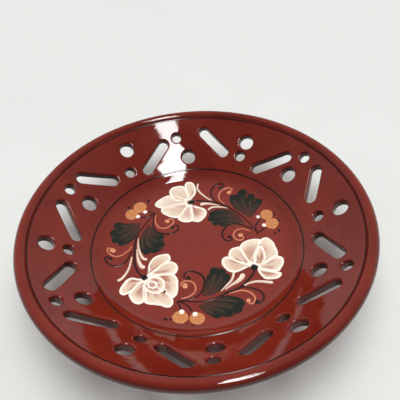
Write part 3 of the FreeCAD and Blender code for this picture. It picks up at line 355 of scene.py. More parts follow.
# ---------------------------------------------------------------- the sprays
# Points in millimetres in the first spray's own place; each spray is turned by its own
# "turn" in degrees.  A petal is its outline and how far the clay shows through (0 to 1).
# A line is its points and its widths, a blob or highlight (x, y, radius), a berry or dot
# (x, y, radius, height over width), a spot (x, y, radius, colour).
SPRAYS = [
    {
        "petals": [
            ([(-2.6, 50.6), (1.2, 56), (2.1, 61.8), (0.2, 68), (-4, 69.8), (-7.4, 67.4), (-6.8, 60),
              (-5, 53)], 0.4),
            ([(-5, 50), (-4.6, 58), (-8.2, 65.6), (-14, 66.2), (-19.2, 64.2), (-21, 59),
              (-17, 50)], 0.1),
            ([(-6, 48), (-12, 54), (-21.4, 57), (-30, 52.4), (-33.3, 47.6), (-31.8, 44.4), (-27, 42.2),
              (-15, 42)], 0.05),
            ([(-6, 46), (-15, 46), (-26.6, 42.8), (-28, 38.8), (-25.4, 35), (-20, 31.4), (-14.2, 30.2),
              (-8, 35)], 0.2),
            ([(-5, 44), (-10, 38), (-14.2, 30), (-13, 27.2), (-10, 25), (-5.4, 24.4), (-2.6, 26),
              (-1.5, 34)], 0.2),
            ([(-4, 43.6), (-3, 34), (-2.8, 26), (0, 24.2), (4, 24.2), (7, 27.4), (9.4, 31.4),
              (9.5, 35), (7.6, 38.6), (2, 41)], 0.45),
        ],
        "over": [],
        "spots": [(-7.6, 49, 0.5, CREAM_PINK), (-7, 46.4, 0.45, CREAM_PINK)],
        "heart": (-2.6, 46.8, 2.6),
        "stem": [(-1, 47.6), (4, 47.8), (12, 45.9), (20.4, 43.2), (26.9, 38.5), (35.3, 29.9),
                 (42.3, 19.6), (47.8, 7)],
        "twigs": [
            [(47.6, 7), (47, 12.6), (48.2, 17.3), (51.8, 22.2)],
            [(47.9, 7.2), (49.8, 9.3), (54.2, 12.5)],
        ],
        "cream": [
            ([(4.4, 67.4), (3.4, 63), (4.8, 59), (8, 53.8), (11.6, 49.6), (14.8, 47.2)],
             (1.5, 1.8, 1.7, 1.2)),
            ([(4.6, 43), (8, 44), (12.8, 43.4), (18, 41.6), (20.6, 40.6)], (3.4, 2.6, 1.9, 1.0)),
            ([(10.8, 36.2), (13.2, 38.6), (16.8, 39.3), (23.7, 38.1), (27.2, 36.6)],
             (1.8, 1.8, 1.6, 0.9)),
        ],
        "black_up": [(18.4, 44.4), (16.2, 49), (14.8, 53.7), (15, 58.8), (17.1, 62.5), (20.4, 64.4),
                     (24.6, 64.6), (26.6, 62.8), (25, 61)],
        "black_up_blob": (23.3, 60.7, 1.8),
        "orange_up": [(25.3, 41.4), (22.7, 44.8), (21.1, 48.5), (21.1, 52.7), (23.2, 56.9),
                      (26.5, 59.1), (30.2, 59.5), (32.8, 57.6), (32, 55.4)],
        "orange_up_blob": (30.2, 54.8, 2.1),
        "black_low": [(45.6, 12), (40.5, 15), (36.7, 17.3), (33, 18.7), (29.3, 19.1), (25.5, 18),
                      (22.3, 14.9), (20.4, 11.2), (20.2, 7), (21.8, 3.7), (24.6, 2), (27.2, 3.2),
                      (26.8, 5.2)],
        "black_low_blob": (25.6, 6, 1.7),
        "orange_low": [(42.6, 9.8), (39.5, 12.1), (35.8, 13.4), (32.1, 12.6), (29.3, 9.8), (28.8, 6.5),
                       (30.7, 3), (33.9, 2.1), (36.2, 3.9), (35.8, 6)],
        "orange_low_blob": (34.3, 7, 2.1),
        "outer_leaf_wash": [(43.5, 24), (39, 30), (35, 34), (31.8, 40), (30.8, 46), (31.6, 51),
                            (36, 54), (40, 57.4), (44, 57.4), (48, 51), (51, 46.6), (55.5, 43.4),
                            (56.8, 40.5), (52, 33), (48, 28)],
        "inner_leaf_wash": [(8.8, 26), (10, 31), (13.6, 33.6), (20, 35.4), (26, 34.8), (31, 32.6),
                            (36, 28), (40.5, 19), (34, 20), (26, 17), (18, 17.4), (12, 20.4)],
        "outer_leaf": [
            ([(34.6, 51.8), (33.4, 46), (35, 39), (42.4, 27)], (7.5, 7, 6, 1.5)),
            ([(56, 41.6), (51.5, 38.6), (48, 33), (45, 25)], (6, 6.5, 5, 1.5)),
            ([(49.6, 49), (46.6, 44), (45, 35), (44.2, 25)], (6.5, 6.5, 5, 1.5)),
            ([(42.6, 55.6), (40, 49), (40.4, 38), (43.6, 25)], (7, 7.5, 6, 1.5)),
        ],
        "inner_leaf": [
            ([(11.6, 30.6), (19, 33.6), (27, 32.6), (36.5, 25.4)], (5.5, 5.5, 5, 1.2)),
            ([(19.4, 18.4), (25, 19.6), (31, 20.8), (39.5, 19.4)], (4, 4.5, 4, 1.2)),
            ([(13.4, 20.4), (20, 22.6), (28, 23.6), (39, 20.6)], (6, 6, 5.5, 1.2)),
            ([(10.2, 25), (17, 28), (26, 28.6), (37.5, 23.4)], (6.5, 6.5, 6, 1.2)),
        ],
        "berries": [(57.5, 25.8, 4.9, 1.1), (60.2, 16.2, 5.2, 1.02)],
        "highlights": [(50.5, 24.6, 1.6), (54, 15.4, 1.8)],
        "dots": [(63.6, 24.8, 1.0, 1.2), (65.8, 17.7, 1.0, 1.1), (64.6, 8, 1.0, 1.9),
                 (61, 6, 1.1, 1.0)],
        "turn": 0,
    },
    {
        "petals": [
            ([(2.4, 50.8), (5.2, 54.2), (6.9, 58), (5.6, 62.2), (3.2, 66.4), (0, 67.6), (-2.4, 66),
              (-1.4, 59), (0, 53)], 0.8),
            ([(0.4, 50.6), (-0.4, 58), (-2.8, 64.2), (-6, 65.4), (-10, 65.6), (-14.4, 64.2),
              (-16.2, 61), (-15, 56), (-6, 52)], 0.35),
            ([(-1.6, 47.8), (-6, 54), (-16.4, 59), (-24.8, 53.8), (-28, 50.2), (-29.4, 46.2),
              (-27.6, 43), (-23.6, 41.6), (-10, 42)], 0.35),
            ([(-1.4, 46), (-10, 46), (-24.2, 42), (-24.8, 39), (-22.8, 35.4), (-20.4, 32.8),
              (-16.8, 30.6), (-12, 30.2), (-5, 35)], 0.3),
            ([(-0.6, 44.6), (-6, 38), (-12, 30.4), (-10.4, 27.4), (-8, 25.2), (-4, 24.8), (-0.2, 26.6),
              (2.2, 34)], 0.35),
            ([(0.4, 44.8), (0.6, 35), (-0.4, 26.6), (1.6, 23.6), (4.8, 23), (8, 24.6), (10.8, 28.6),
              (12, 33), (10.8, 36.6), (8, 39.4), (4, 42)], 0.95),
        ],
        "over": [
            ([(-1.6, 50.4), (-6, 52.4), (-12, 51.4), (-18.6, 47), (-20.4, 43.6), (-14.6, 42.4),
              (-7, 43.6), (-2, 46)], 0.55),
        ],
        "spots": [(-19.8, 43.7, 0.9, BROWN_BLACK)],
        "heart": (0.9, 47.4, 2.7),
        "stem": [(2, 48.2), (6, 48.5), (12, 47.6), (20.4, 45), (28.3, 38.6), (37.7, 31.2),
                 (43.7, 22.9), (48.9, 10)],
        "twigs": [
            [(49.3, 9.8), (48.9, 14.9), (50, 19.6), (52, 23)],
            [(49.8, 9.6), (51.8, 13), (54, 15.2)],
        ],
        "cream": [
            ([(7.9, 64.4), (9.2, 59), (11.2, 53.8), (14.4, 49.6), (18.2, 46.6)], (2.6, 2.1, 1.8, 1.4)),
            ([(9.2, 42.2), (12.9, 42.4), (17.1, 41), (21.3, 38.7), (24.6, 37), (27, 35.9)],
             (4.0, 3.2, 1.9, 0.9)),
            ([(11.4, 35.6), (14.3, 36.5), (18.1, 36.8), (21.8, 35.9), (25.5, 35), (29.7, 33.8)],
             (1.8, 1.8, 1.6, 1.0)),
        ],
        "black_up": [(20.2, 46), (18.5, 50.4), (17.6, 54.6), (18.3, 59.3), (20.4, 62.1), (23.7, 63.2),
                     (27.2, 62.6), (28.4, 60.8)],
        "black_up_blob": (27.2, 60.2, 2.0),
        "orange_up": [(29.1, 39.4), (26, 42.5), (23.2, 45.7), (21.8, 49.5), (22, 54.1), (24.1, 57.2),
                      (27.4, 58.2), (30, 57), (30, 54.8)],
        "orange_up_blob": (28.3, 54.2, 1.8),
        "black_low": [(48.2, 11.6), (46.1, 14.9), (43.3, 18.2), (39.5, 20.8), (34.9, 21.9),
                      (30.2, 21.2), (26, 19.4), (23.2, 15.9), (22.3, 11.7), (23.2, 7), (26, 4),
                      (29, 4.1), (30.6, 6)],
        "black_low_blob": (29.3, 7.9, 1.8),
        "orange_low": [(46.6, 11.2), (44.2, 14.2), (41.2, 16.3), (37.7, 17.4), (33.9, 16.2),
                       (31.4, 13.5), (31.1, 10.3), (32.5, 6.8), (35.3, 5.5), (37.7, 6.6)],
        "orange_low_blob": (36, 8.8, 2.3),
        "outer_leaf_wash": [(46, 23), (42, 28.5), (37.5, 33), (33, 37.5), (30.4, 42), (29.8, 48),
                            (31.4, 53), (34.6, 55.6), (38, 55.6), (41, 53), (45.5, 50.4), (48, 46),
                            (50, 42), (49.6, 33.5), (48.2, 28)],
        "inner_leaf_wash": [(9.4, 24.5), (11.4, 29), (13.2, 33), (18, 34.6), (24, 33.6), (30, 31.8),
                            (36, 29), (40.5, 24), (34, 22.3), (27, 21), (21, 19), (16, 18),
                            (11.4, 19.2)],
        "outer_leaf": [
            ([(33.6, 53), (32.4, 46), (35, 38.5), (42.4, 28)], (7.5, 7, 6, 1.5)),
            ([(48.4, 42), (47.4, 38), (47, 32), (46.4, 25)], (5.5, 5.5, 4, 1.5)),
            ([(44.2, 48.6), (43, 43), (43.6, 35), (45.4, 25)], (6.5, 6.5, 5, 1.5)),
            ([(38.4, 53.4), (37.4, 47), (39, 38), (44.6, 26)], (7, 7.5, 6, 1.5)),
        ],
        "inner_leaf": [
            ([(14, 32.4), (20, 33), (27, 31.6), (36.5, 28)], (5, 5, 4.5, 1.2)),
            ([(20, 20.4), (26, 22.4), (32, 23.6), (38.5, 24.2)], (4, 4, 3.5, 1.2)),
            ([(13.4, 20.2), (19, 23.4), (27, 25.4), (38, 25)], (6.5, 6, 5, 1.2)),
            ([(11.8, 26), (18, 28.8), (26, 29), (37, 26.8)], (6.5, 6.5, 5.5, 1.2)),
        ],
        "berries": [(55.5, 28.6, 4.8, 1.1), (59.6, 17.8, 5.1, 1.08)],
        "highlights": [(53.1, 25.6, 1.8), (55.4, 16.6, 1.9)],
        "dots": [(61.8, 28.6, 0.7, 1.6), (63.8, 13, 1.0, 1.0), (65.4, 9.8, 1.1, 1.5)],
        "turn": -120,
    },
    {
        "petals": [
            ([(-3.6, 49.4), (0, 52.2), (2.8, 55), (3.2, 59), (0.8, 63.4), (-2.4, 67), (-5.6, 68.2),
              (-8.4, 66.2), (-8, 60), (-5.4, 53)], 0.9),
            ([(-4.4, 49.6), (-5.4, 57), (-8.8, 63), (-12, 64), (-16, 64), (-19.2, 62.6), (-20.8, 59.8),
              (-19, 54), (-10, 50)], 0.4),
            ([(-5, 47.6), (-10, 53), (-20.8, 57.2), (-27.2, 51.8), (-30, 48.8), (-33.2, 46.6),
              (-34.4, 43.8), (-32.8, 40.8), (-27.4, 39), (-12, 40)], 0.5),
            ([(-5, 46), (-14, 45), (-28, 39.8), (-29.2, 36.6), (-26.8, 33.4), (-22.8, 30.6),
              (-19.2, 28.6), (-15.2, 27.8), (-11.4, 29), (-7, 36)], 0.6),
            ([(-4.6, 44.4), (-8, 37), (-12.6, 28.4), (-12.4, 25.8), (-10, 23), (-6, 22), (-2.8, 23),
              (-0.6, 25.4), (0.2, 33)], 0.35),
            ([(-3.4, 44.2), (-1.4, 33), (-0.6, 24.8), (2, 22.6), (4.8, 22), (6.8, 23.4), (8.8, 27.8),
              (9.4, 31.8), (8.4, 35.4), (6, 39), (2.4, 41.6)], 0.9),
        ],
        "over": [
            ([(-7, 49.6), (-9, 51.8), (-14.4, 51.6), (-19.6, 47.6), (-20.6, 43), (-17.8, 38.4),
              (-12, 36.6), (-7, 39), (-4.8, 43.6)], 0.6),
            ([(-8.4, 48.6), (-12.4, 49), (-15.4, 46.6), (-15, 43), (-11, 41.8), (-7.6, 44.6)], 0.5),
        ],
        "spots": [(-21.8, 41.4, 1.3, BROWN_BLACK), (-11.8, 47, 0.9, VEIL)],
        "heart": (-2.3, 47.4, 2.4),
        "stem": [(-0.6, 48.5), (5, 48.8), (12, 47.6), (19, 44.3), (27.4, 39.7), (35.3, 33.6),
                 (42.3, 23.3), (48.9, 9.6)],
        "twigs": [
            [(49.1, 9.6), (48.6, 14.9), (49.8, 19.1), (51.9, 21.6)],
            [(49.4, 9.6), (51.2, 12), (54, 13.6)],
        ],
        "cream": [
            ([(5.6, 65), (6, 61.4), (8, 57.4), (11.2, 53), (16, 49), (19.8, 46)], (2.2, 1.9, 1.7, 1.2)),
            ([(4.8, 43), (7.6, 44.3), (12, 44.1), (16.8, 42.8), (20.5, 41.3), (24, 39.9)],
             (3.6, 2.7, 1.9, 1.0)),
            ([(10.4, 37.9), (13.3, 39.9), (18.1, 39.7), (23.7, 38.3), (28.3, 36.4), (33, 33.8)],
             (2.4, 2.0, 1.7, 1.0)),
        ],
        "black_up": [(24.6, 43.4), (21.3, 47.6), (18.5, 51.3), (17.6, 55.5), (18.3, 59.3),
                     (20.4, 62.5), (23.7, 64.2), (27.4, 64.4), (29.4, 62.6), (28.4, 60.8)],
        "black_up_blob": (26.6, 60.6, 1.8),
        "orange_up": [(29.3, 41.1), (26.9, 44.8), (26, 48.5), (25.6, 52.3), (26.9, 56.3), (29.7, 58.6),
                      (33.5, 59.4), (36.4, 58.2), (35.6, 55.6)],
        "orange_up_blob": (33.2, 55.6, 2.4),
        "black_low": [(48, 10.8), (44.7, 13.5), (40.5, 16.3), (37.7, 18), (33.9, 18.7), (30.2, 18.4),
                      (26.5, 16.3), (23.7, 13.5), (22, 10.3), (21.6, 6.5), (22.5, 3.4), (25.1, 1.6),
                      (27.6, 2.7), (28, 4.6)],
        "black_low_blob": (26.8, 6.1, 1.6),
        "orange_low": [(46.4, 10.4), (43.2, 12.8), (39.5, 14.6), (35.3, 15.1), (32.1, 14.2),
                       (29.7, 11.2), (29.4, 7.9), (30.4, 3.8), (33, 1.6), (35.8, 2.6), (36.6, 4.8)],
        "orange_low_blob": (35.2, 6.1, 2.1),
        "outer_leaf_wash": [(45, 23), (41, 27.5), (37, 33), (34.8, 38), (34.2, 44), (35, 49), (38, 52),
                            (41, 54.6), (44, 54), (48, 52), (52, 48.4), (55.4, 46.4), (57.4, 43.5),
                            (54, 33.8), (50, 30.5), (47.5, 26.5)],
        "inner_leaf_wash": [(9.6, 24.5), (10.8, 29.5), (13.2, 33.8), (17, 36.6), (22, 36.8),
                            (28, 34.6), (34, 30.6), (39.5, 25.5), (42, 20.5), (35, 20.4), (28, 19.4),
                            (22, 16.6), (16, 18.4), (12, 20.9)],
        "outer_leaf": [
            ([(37.4, 49.4), (36.6, 44), (38, 36), (43, 27)], (7, 7, 6, 1.5)),
            ([(55, 44.2), (51.6, 40), (48.4, 34), (45.6, 25)], (7.5, 7.5, 6, 1.5)),
            ([(49.4, 50.2), (46.4, 45), (45, 36), (44.8, 26)], (7, 7.5, 6, 1.5)),
            ([(42, 52.4), (40.6, 47), (41, 38), (44, 27)], (6.5, 7, 6, 1.5)),
        ],
        "inner_leaf": [
            ([(14.6, 34), (20.4, 35), (27, 33), (38, 25.6)], (6, 5.5, 5, 1.2)),
            ([(21, 17.8), (27, 19.8), (33, 21), (41, 20.8)], (5.5, 5, 4, 1.2)),
            ([(14, 21.4), (20, 23.4), (28, 24.4), (40, 22)], (7, 6.5, 5.5, 1.2)),
            ([(12.4, 27.4), (19, 29.4), (27, 29), (39, 24)], (7, 7, 6, 1.2)),
        ],
        "berries": [(58.2, 26.4, 5.0, 1.08), (61.4, 17.2, 5.1, 1.15)],
        "highlights": [(53.8, 23.2, 1.8), (54.9, 15.9, 1.8)],
        "dots": [(65.2, 26, 1.2, 1.4), (67.1, 17.7, 1.0, 1.0), (63.9, 7.8, 1.3, 1.1),
                 (66.6, 6.6, 0.7, 1.0)],
        "turn": -240,
    },
]

# ------------------------------------------------------------------ materials
class Nodes:
    """Small helper that builds the nodes of a material or of the world."""

    def __init__(self, tree):
        self.nodes = tree.nodes
        self.links = tree.links

    def add(self, kind, **settings):
        node = self.nodes.new(kind)
        for key, value in settings.items():
            setattr(node, key, value)
        return node

    def link(self, source, target):
        self.links.new(source, target)

    def coordinates(self, kind):
        return self.add("ShaderNodeTexCoord").outputs[kind]

    def split(self, vector):
        node = self.add("ShaderNodeSeparateXYZ")
        self.link(vector, node.inputs["Vector"])
        return node.outputs

    def noise(self, vector, scale, detail=4.0, roughness=0.55):
        node = self.add("ShaderNodeTexNoise")
        node.inputs["Scale"].default_value = scale
        node.inputs["Detail"].default_value = detail
        node.inputs["Roughness"].default_value = roughness
        self.link(vector, node.inputs["Vector"])
        return node.outputs["Fac"]

    def ramp(self, source, low, high, start, stop):
        """`low` where the source is at `start`, `high` at `stop`, soft between."""
        node = self.add("ShaderNodeMapRange", interpolation_type="SMOOTHSTEP")
        node.inputs["From Min"].default_value = start
        node.inputs["From Max"].default_value = stop
        node.inputs["To Min"].default_value = low
        node.inputs["To Max"].default_value = high
        self.link(source, node.inputs["Value"])
        return node.outputs["Result"]

    def begins(self, source, zone):
        return self.ramp(source, 0.0, 1.0, *zone)

    def ends(self, source, zone):
        return self.ramp(source, 1.0, 0.0, *zone)

    def math(self, operation, first, second=None):
        node = self.add("ShaderNodeMath", operation=operation)
        for socket, value in zip(node.inputs, (first, second)):
            if value is None:
                continue
            if isinstance(value, (int, float)):
                socket.default_value = value
            else:
                self.link(value, socket)
        return node.outputs["Value"]

    def times(self, first, second):
        return self.math("MULTIPLY", first, second)

    def plus(self, first, second):
        return self.math("ADD", first, second)

    def mix(self, share, first, second, blend="MIX"):
        node = self.add("ShaderNodeMix", data_type="RGBA", blend_type=blend)
        inputs = (node.inputs[0], share), (node.inputs[6], first), (node.inputs[7], second)
        for socket, value in inputs:
            if isinstance(value, (int, float)):
                socket.default_value = value
            elif isinstance(value, (tuple, np.ndarray)):
                socket.default_value = (*[float(c) for c in value], 1.0)
            else:
                self.link(value, socket)
        return node.outputs[2]

    def bump(self, height, distance, strength=0.4, under=None):
        node = self.add("ShaderNodeBump")
        node.inputs["Distance"].default_value = distance
        node.inputs["Strength"].default_value = strength
        self.link(height, node.inputs["Height"])
        if under is not None:
            self.link(under, node.inputs["Normal"])
        return node.outputs["Normal"]


class Shader(Nodes):
    """One new material with a Principled surface."""

    def __init__(self, name):
        self.material = bpy.data.materials.new(name)
        self.material.use_nodes = True
        super().__init__(self.material.node_tree)
        self.surface = self.nodes["Principled BSDF"].inputs

    def finish(self, colour, rough, normal):
        self.link(colour, self.surface["Base Color"])
        self.link(rough, self.surface["Roughness"])
        self.link(normal, self.surface["Normal"])
        return self.material


# Zones of the glazed body in metres, each from where a change begins to where it is full.
# the well's paler tone is a painted reflection
WELL_EDGE = (0.060, 0.080)         # radius at which the well's paler tone ends
PIERCED_INNER = (0.078, 0.080)     # radius of the pierced belt's inner edge
PIERCED_OUTER = (0.1155, 0.1165)   # and of its outer edge
CUT_TOP = (0.0006, 0.0022)         # depth below the rim's surface where a cut's wall starts
CUT_BOTTOM = (0.0054, 0.0059)      # and where it ends
LIP_EDGE = (0.1225, 0.1240)        # radius of the part of the lip that gets knocked
# where the painted shade on the lip's outer side falls:
LIP_FALL = -0.6                    # weight of the height in "how far out and down"
LIP_OUTSIDE = (0.0930, 0.0965)     # the lip's outer side, in that measure
FOOT_FACE = (0.0003, 0.0011)       # height of the bare clay on the foot
GLASS_IOR = 1.5


def wheel_marks(shader, place, radius):
    """Rings left by the turning wheel, broad and fine; they drift in and out a little."""
    drift = shader.noise(place, 9.0, 2.0)
    line = shader.add("ShaderNodeCombineXYZ")
    shader.link(shader.plus(radius, shader.times(drift, 0.004)), line.inputs["X"])
    shader.link(shader.times(drift, 0.006), line.inputs["Y"])
    broad = shader.noise(line.outputs["Vector"], 260.0, 3.0, 0.6)
    fine = shader.noise(line.outputs["Vector"], 1100.0, 2.0, 0.5)
    return broad, fine


def cut_walls(shader, radius, height):
    """1 on the walls of the piercings, 0 elsewhere."""
    slope = shader.times(shader.math("SUBTRACT", radius, WELL_RADIUS * MM), math.tan(RIM_ANGLE))
    above = shader.math("SUBTRACT", height, shader.plus(slope, FLOOR * MM))
    depth = shader.times(above, -math.cos(RIM_ANGLE))
    inside = shader.times(shader.begins(depth, CUT_TOP), shader.ends(depth, CUT_BOTTOM))
    inside = shader.times(inside, shader.begins(radius, PIERCED_INNER))
    return shader.times(inside, shader.ends(radius, PIERCED_OUTER))


def clay_material():
    """Red-brown slip under clear glaze, with the marks of the turning wheel; painted shade darkens the
    piercings' walls and the lip's outer side, and a painted reflection makes the well paler.
    """
    shader = Shader("red_brown_glaze")
    place = shader.coordinates("Object")
    x, y, z = shader.split(place)
    radius = shader.math("SQRT", shader.plus(shader.times(x, x), shader.times(y, y)))
    rings, fine_rings = wheel_marks(shader, place, radius)
    cloud = shader.noise(place, 26.0, 5.0, 0.6)
    mottle = shader.noise(place, 130.0, 4.0, 0.6)
    speck = shader.noise(place, 900.0, 2.0, 0.5)
    knocks = shader.noise(place, 150.0, 2.0, 0.5)

    colour = shader.mix(shader.ramp(cloud, 0.0, 1.0, 0.35, 0.68), GLAZE, GLAZE_WARM)
    colour = shader.mix(shader.ramp(rings, 0.0, 0.5, 0.35, 0.7), colour, GLAZE_RING)
    colour = shader.mix(shader.ramp(mottle, 0.0, 0.35, 0.55, 0.8), colour, GLAZE_MOTTLE)
    colour = shader.mix(shader.ramp(speck, 0.0, 0.55, 0.68, 0.76), colour, GLAZE_SPECK)
    # painted reflection: the well is paler towards its centre, standing in for the pale room mirrored
    # there, and darker towards its edge
    well = shader.ends(radius, WELL_EDGE)
    colour = shader.mix(shader.times(well, 0.7), colour, WELL_PAINTED_REFLECTION)
    # painted shade: the walls of the piercings are darkened where little light reaches them; the same
    # mask also makes them rougher
    inside = cut_walls(shader, radius, z)
    colour = shader.mix(shader.times(inside, 0.85), colour, CUT_WALL_PAINTED_SHADE)
    chips = shader.times(shader.begins(knocks, (0.70, 0.72)), shader.begins(radius, LIP_EDGE))
    colour = shader.mix(shader.times(chips, 0.8), colour, CHIP)
    # painted shade: the lip's outer and lower side is darkened, as it faces away from the light
    # overhead
    outward = shader.begins(shader.plus(radius, shader.times(z, LIP_FALL)), LIP_OUTSIDE)
    colour = shader.mix(shader.times(outward, 0.8), colour, LIP_OUTSIDE_PAINTED_SHADE)
    bare = shader.ends(z, FOOT_FACE)
    clay = shader.mix(shader.ramp(mottle, 0.0, 1.0, 0.3, 0.7), BARE_PALE, BARE_DEEP)
    colour = shader.mix(bare, colour, clay)

    rough = shader.ramp(cloud, 0.03, 0.07, 0.3, 0.7)
    rough = shader.plus(rough, shader.times(inside, 0.22))
    rough = shader.plus(rough, shader.times(bare, 0.6))
    shader.surface["IOR"].default_value = GLASS_IOR

    ring_bump = shader.bump(rings, 0.00007)
    fine_bump = shader.bump(fine_rings, 0.00001, under=ring_bump)
    wave_bump = shader.bump(cloud, 0.0006, 0.28, under=fine_bump)
    return shader.finish(colour, rough, wave_bump)


def slip_material(name, rough_low, rough_high, variation):
    """Coloured slip under the glaze: the brushed colour with small changes of tone."""
    shader = Shader(name)
    place = shader.coordinates("Object")
    brushed = shader.add("ShaderNodeAttribute", attribute_name="slip").outputs["Color"]
    grain = shader.noise(place, 700.0, 4.0, 0.6)
    cloud = shader.noise(place, 120.0, 3.0, 0.5)
    darker = shader.mix(1.0, brushed, SLIP_SHADE, "MULTIPLY")
    colour = shader.mix(shader.ramp(grain, 0.0, variation * 3, 0.45, 0.75), brushed, darker)
    colour = shader.mix(shader.ramp(cloud, 0.0, variation * 2, 0.5, 0.8), colour, darker)
    rough = shader.ramp(cloud, rough_low, rough_high, 0.3, 0.7)
    shader.surface["IOR"].default_value = GLASS_IOR
    return shader.finish(colour, rough, shader.bump(grain, 0.00006))


def band_material():
    """The two turned band lines: black-brown slip that thins to brown in places."""
    shader = Shader("black_brown_band")
    place = shader.coordinates("Object")
    cloud = shader.noise(place, 60.0, 4.0, 0.6)
    grain = shader.noise(place, 900.0, 3.0, 0.6)
    colour = shader.mix(shader.ramp(cloud, 0.0, 1.0, 0.45, 0.8), BAND, BAND_THIN)
    colour = shader.mix(shader.ramp(grain, 0.0, 0.4, 0.5, 0.8), colour, BAND_GRAIN)
    rough = shader.ramp(grain, 0.12, 0.2, 0.3, 0.7)
    return shader.finish(colour, rough, shader.bump(grain, 0.00004))


# --------------------------------------------------------------- paint layers
# Petals are painted back to front; each next one lies a little higher.
PETAL_ORDER = (0, 2, 1, 3, 5, 4)
PETAL_STEP = 0.05


def paint_petals(spray, number, seed, material):
    heart_x, heart_y, heart_radius = spray["heart"]
    layer = Layer(spray["turn"])
    layer.dab(heart_x - heart_radius, heart_y, heart_radius * 1.7, petal_paint(1.0), relief=0.1,
              seed=seed)
    for rank, index in enumerate(PETAL_ORDER):
        outline, veil = spray["petals"][index]
        foot = (np.array(outline[0]) + np.array(outline[-1])) / 2
        base = foot * 0.8 + np.array([heart_x - 1.5, heart_y]) * 0.2
        layer.patch(outline, base, petal_paint(veil), lift=PETAL_STEP * (1 + rank), relief=0.26,
                    seed=seed + 7 * index)
    for rank, (outline, veil) in enumerate(spray["over"]):
        base = np.array(outline).mean(axis=0) * 0.5 + np.array(outline[0]) * 0.5
        layer.patch(outline, base, petal_paint(veil), lift=0.3 + PETAL_STEP * rank, relief=0.16,
                    seed=seed + 70 + rank)
    for rank, (x, y, radius, colour) in enumerate(spray["spots"]):
        layer.dab(x, y, radius, flat_paint(colour, colour), lift=0.42, relief=0.05, rings=8, spokes=32,
                  seed=seed + 80 + rank)
    layer.make("petals", number, material)


def paint_leaf(leaf, spray, number, seed, material):
    """Overlapping comma strokes on a thin wash, each a little above the last."""
    layer = Layer(spray["turn"])
    wash = np.array(spray[leaf + "_wash"])
    middle = wash.mean(axis=0)
    layer.patch(middle + (wash - middle) * 0.84, middle, wash_paint, relief=0.08, seed=seed + 9)
    for index, (points, widths) in enumerate(spray[leaf]):
        layer.stroke(points, widths, leaf_paint, lift=0.08 + 0.03 * index, relief=0.16, fine=0.5,
                     seed=seed + index)
    layer.make(leaf, number, material)


def paint_berries(spray, number, seed, materials):
    berries = Layer(spray["turn"])
    for index, (x, y, radius, tall) in enumerate(spray["berries"]):
        berries.dab(x, y, radius, berry_paint, tall, 0.3, lift=0.06 * index, relief=0.3,
                    seed=seed + 300 + index)
    berries.make("berries", number, materials["ochre"])

    highlights = Layer(spray["turn"])
    for index, (x, y, radius) in enumerate(spray["highlights"]):
        highlights.dab(x, y, radius, flat_paint(WHITE, CREAM, 0.4), lift=0.2, relief=0.25, rings=12,
                       spokes=48, seed=seed + 320 + index)
    highlights.make("berry_highlights", number, materials["cream"])


def paint_dots(spray, number, seed, material):
    layer = Layer(spray["turn"])
    for index, (x, y, radius, tall) in enumerate(spray["dots"]):
        layer.dab(x, y, radius, flat_paint(BLACK, BROWN_BLACK), tall, 0.4, relief=0.2, rings=10,
                  spokes=40, seed=seed + 340 + index)
    layer.make("black_dots", number, material)


def paint_orange_scrolls(spray, number, seed, material):
    layer = Layer(spray["turn"])
    for index, part in enumerate(("orange_up", "orange_low")):
        layer.stroke(spray[part], (0.8, 1.1, 1.3, 1.3, 1.1), line_paint(ORANGE, ORANGE_PALE, 0.6),
                     lift=0.1, relief=0.2, seed=seed + 400 + index)
        layer.dab(*spray[part + "_blob"], flat_paint(ORANGE_PALE, OCHRE, 0.8), 0.85, 0.5, lift=0.05,
                  relief=0.2, rings=12, spokes=48, seed=seed + 410 + index)
    layer.make("orange_scrolls", number, material)


def paint_dark_lines(spray, number, seed, material):
    """The stem, its twigs, the black scrolls with their blobs, and the flower's dark heart."""
    layer = Layer(spray["turn"])
    line = line_paint(BLACK, BROWN_BLACK, 0.9)
    layer.stroke(spray["stem"], (1.4, 2.0, 2.0, 1.8, 1.3, 1.1, 0.8), line, lift=0.16, relief=0.2,
                 seed=seed + 500)
    for index, twig in enumerate(spray["twigs"]):
        layer.stroke(twig, (0.9, 1.2, 1.4), line, lift=0.16, relief=0.18, seed=seed + 510 + index)
    scrolls = (
        ("black_up", (1.2, 1.4, 1.6, 1.6, 1.3)),
        ("black_low", (0.8, 1.3, 1.8, 1.8, 1.5, 1.2)),
    )
    for index, (part, widths) in enumerate(scrolls):
        layer.stroke(spray[part], widths, line, lift=0.14, relief=0.2, seed=seed + 520 + index)
        layer.dab(*spray[part + "_blob"], flat_paint(BLACK, BROWN_BLACK, 0.4), 0.9, 0.5, lift=0.1,
                  relief=0.2, rings=12, spokes=48, seed=seed + 530 + index)
    layer.dab(*spray["heart"], flat_paint(BLACK, BLACK), lift=0.34, relief=0.22, rings=14, spokes=56,
              seed=seed + 540)
    layer.make("stem", number, material, node="stem_and_scrolls")


def paint_cream_strokes(spray, number, seed, material):
    layer = Layer(spray["turn"])
    for index, (points, widths) in enumerate(spray["cream"]):
        layer.stroke(points, widths, cream_line, lift=0.2, relief=0.26, seed=seed + 600 + index)
    layer.make("cream_strokes", number, material)


def paint_spray(spray, number, materials):
    """All nine layers of one spray."""
    seed = 1000 * number
    paint_petals(spray, number, seed, materials["cream"])
    paint_leaf("outer_leaf", spray, number, seed + 100, materials["green"])
    paint_leaf("inner_leaf", spray, number, seed + 200, materials["green"])
    paint_berries(spray, number, seed, materials)
    paint_dots(spray, number, seed, materials["black"])
    paint_orange_scrolls(spray, number, seed, materials["ochre"])
    paint_dark_lines(spray, number, seed, materials["black"])
    paint_cream_strokes(spray, number, seed, materials["cream"])


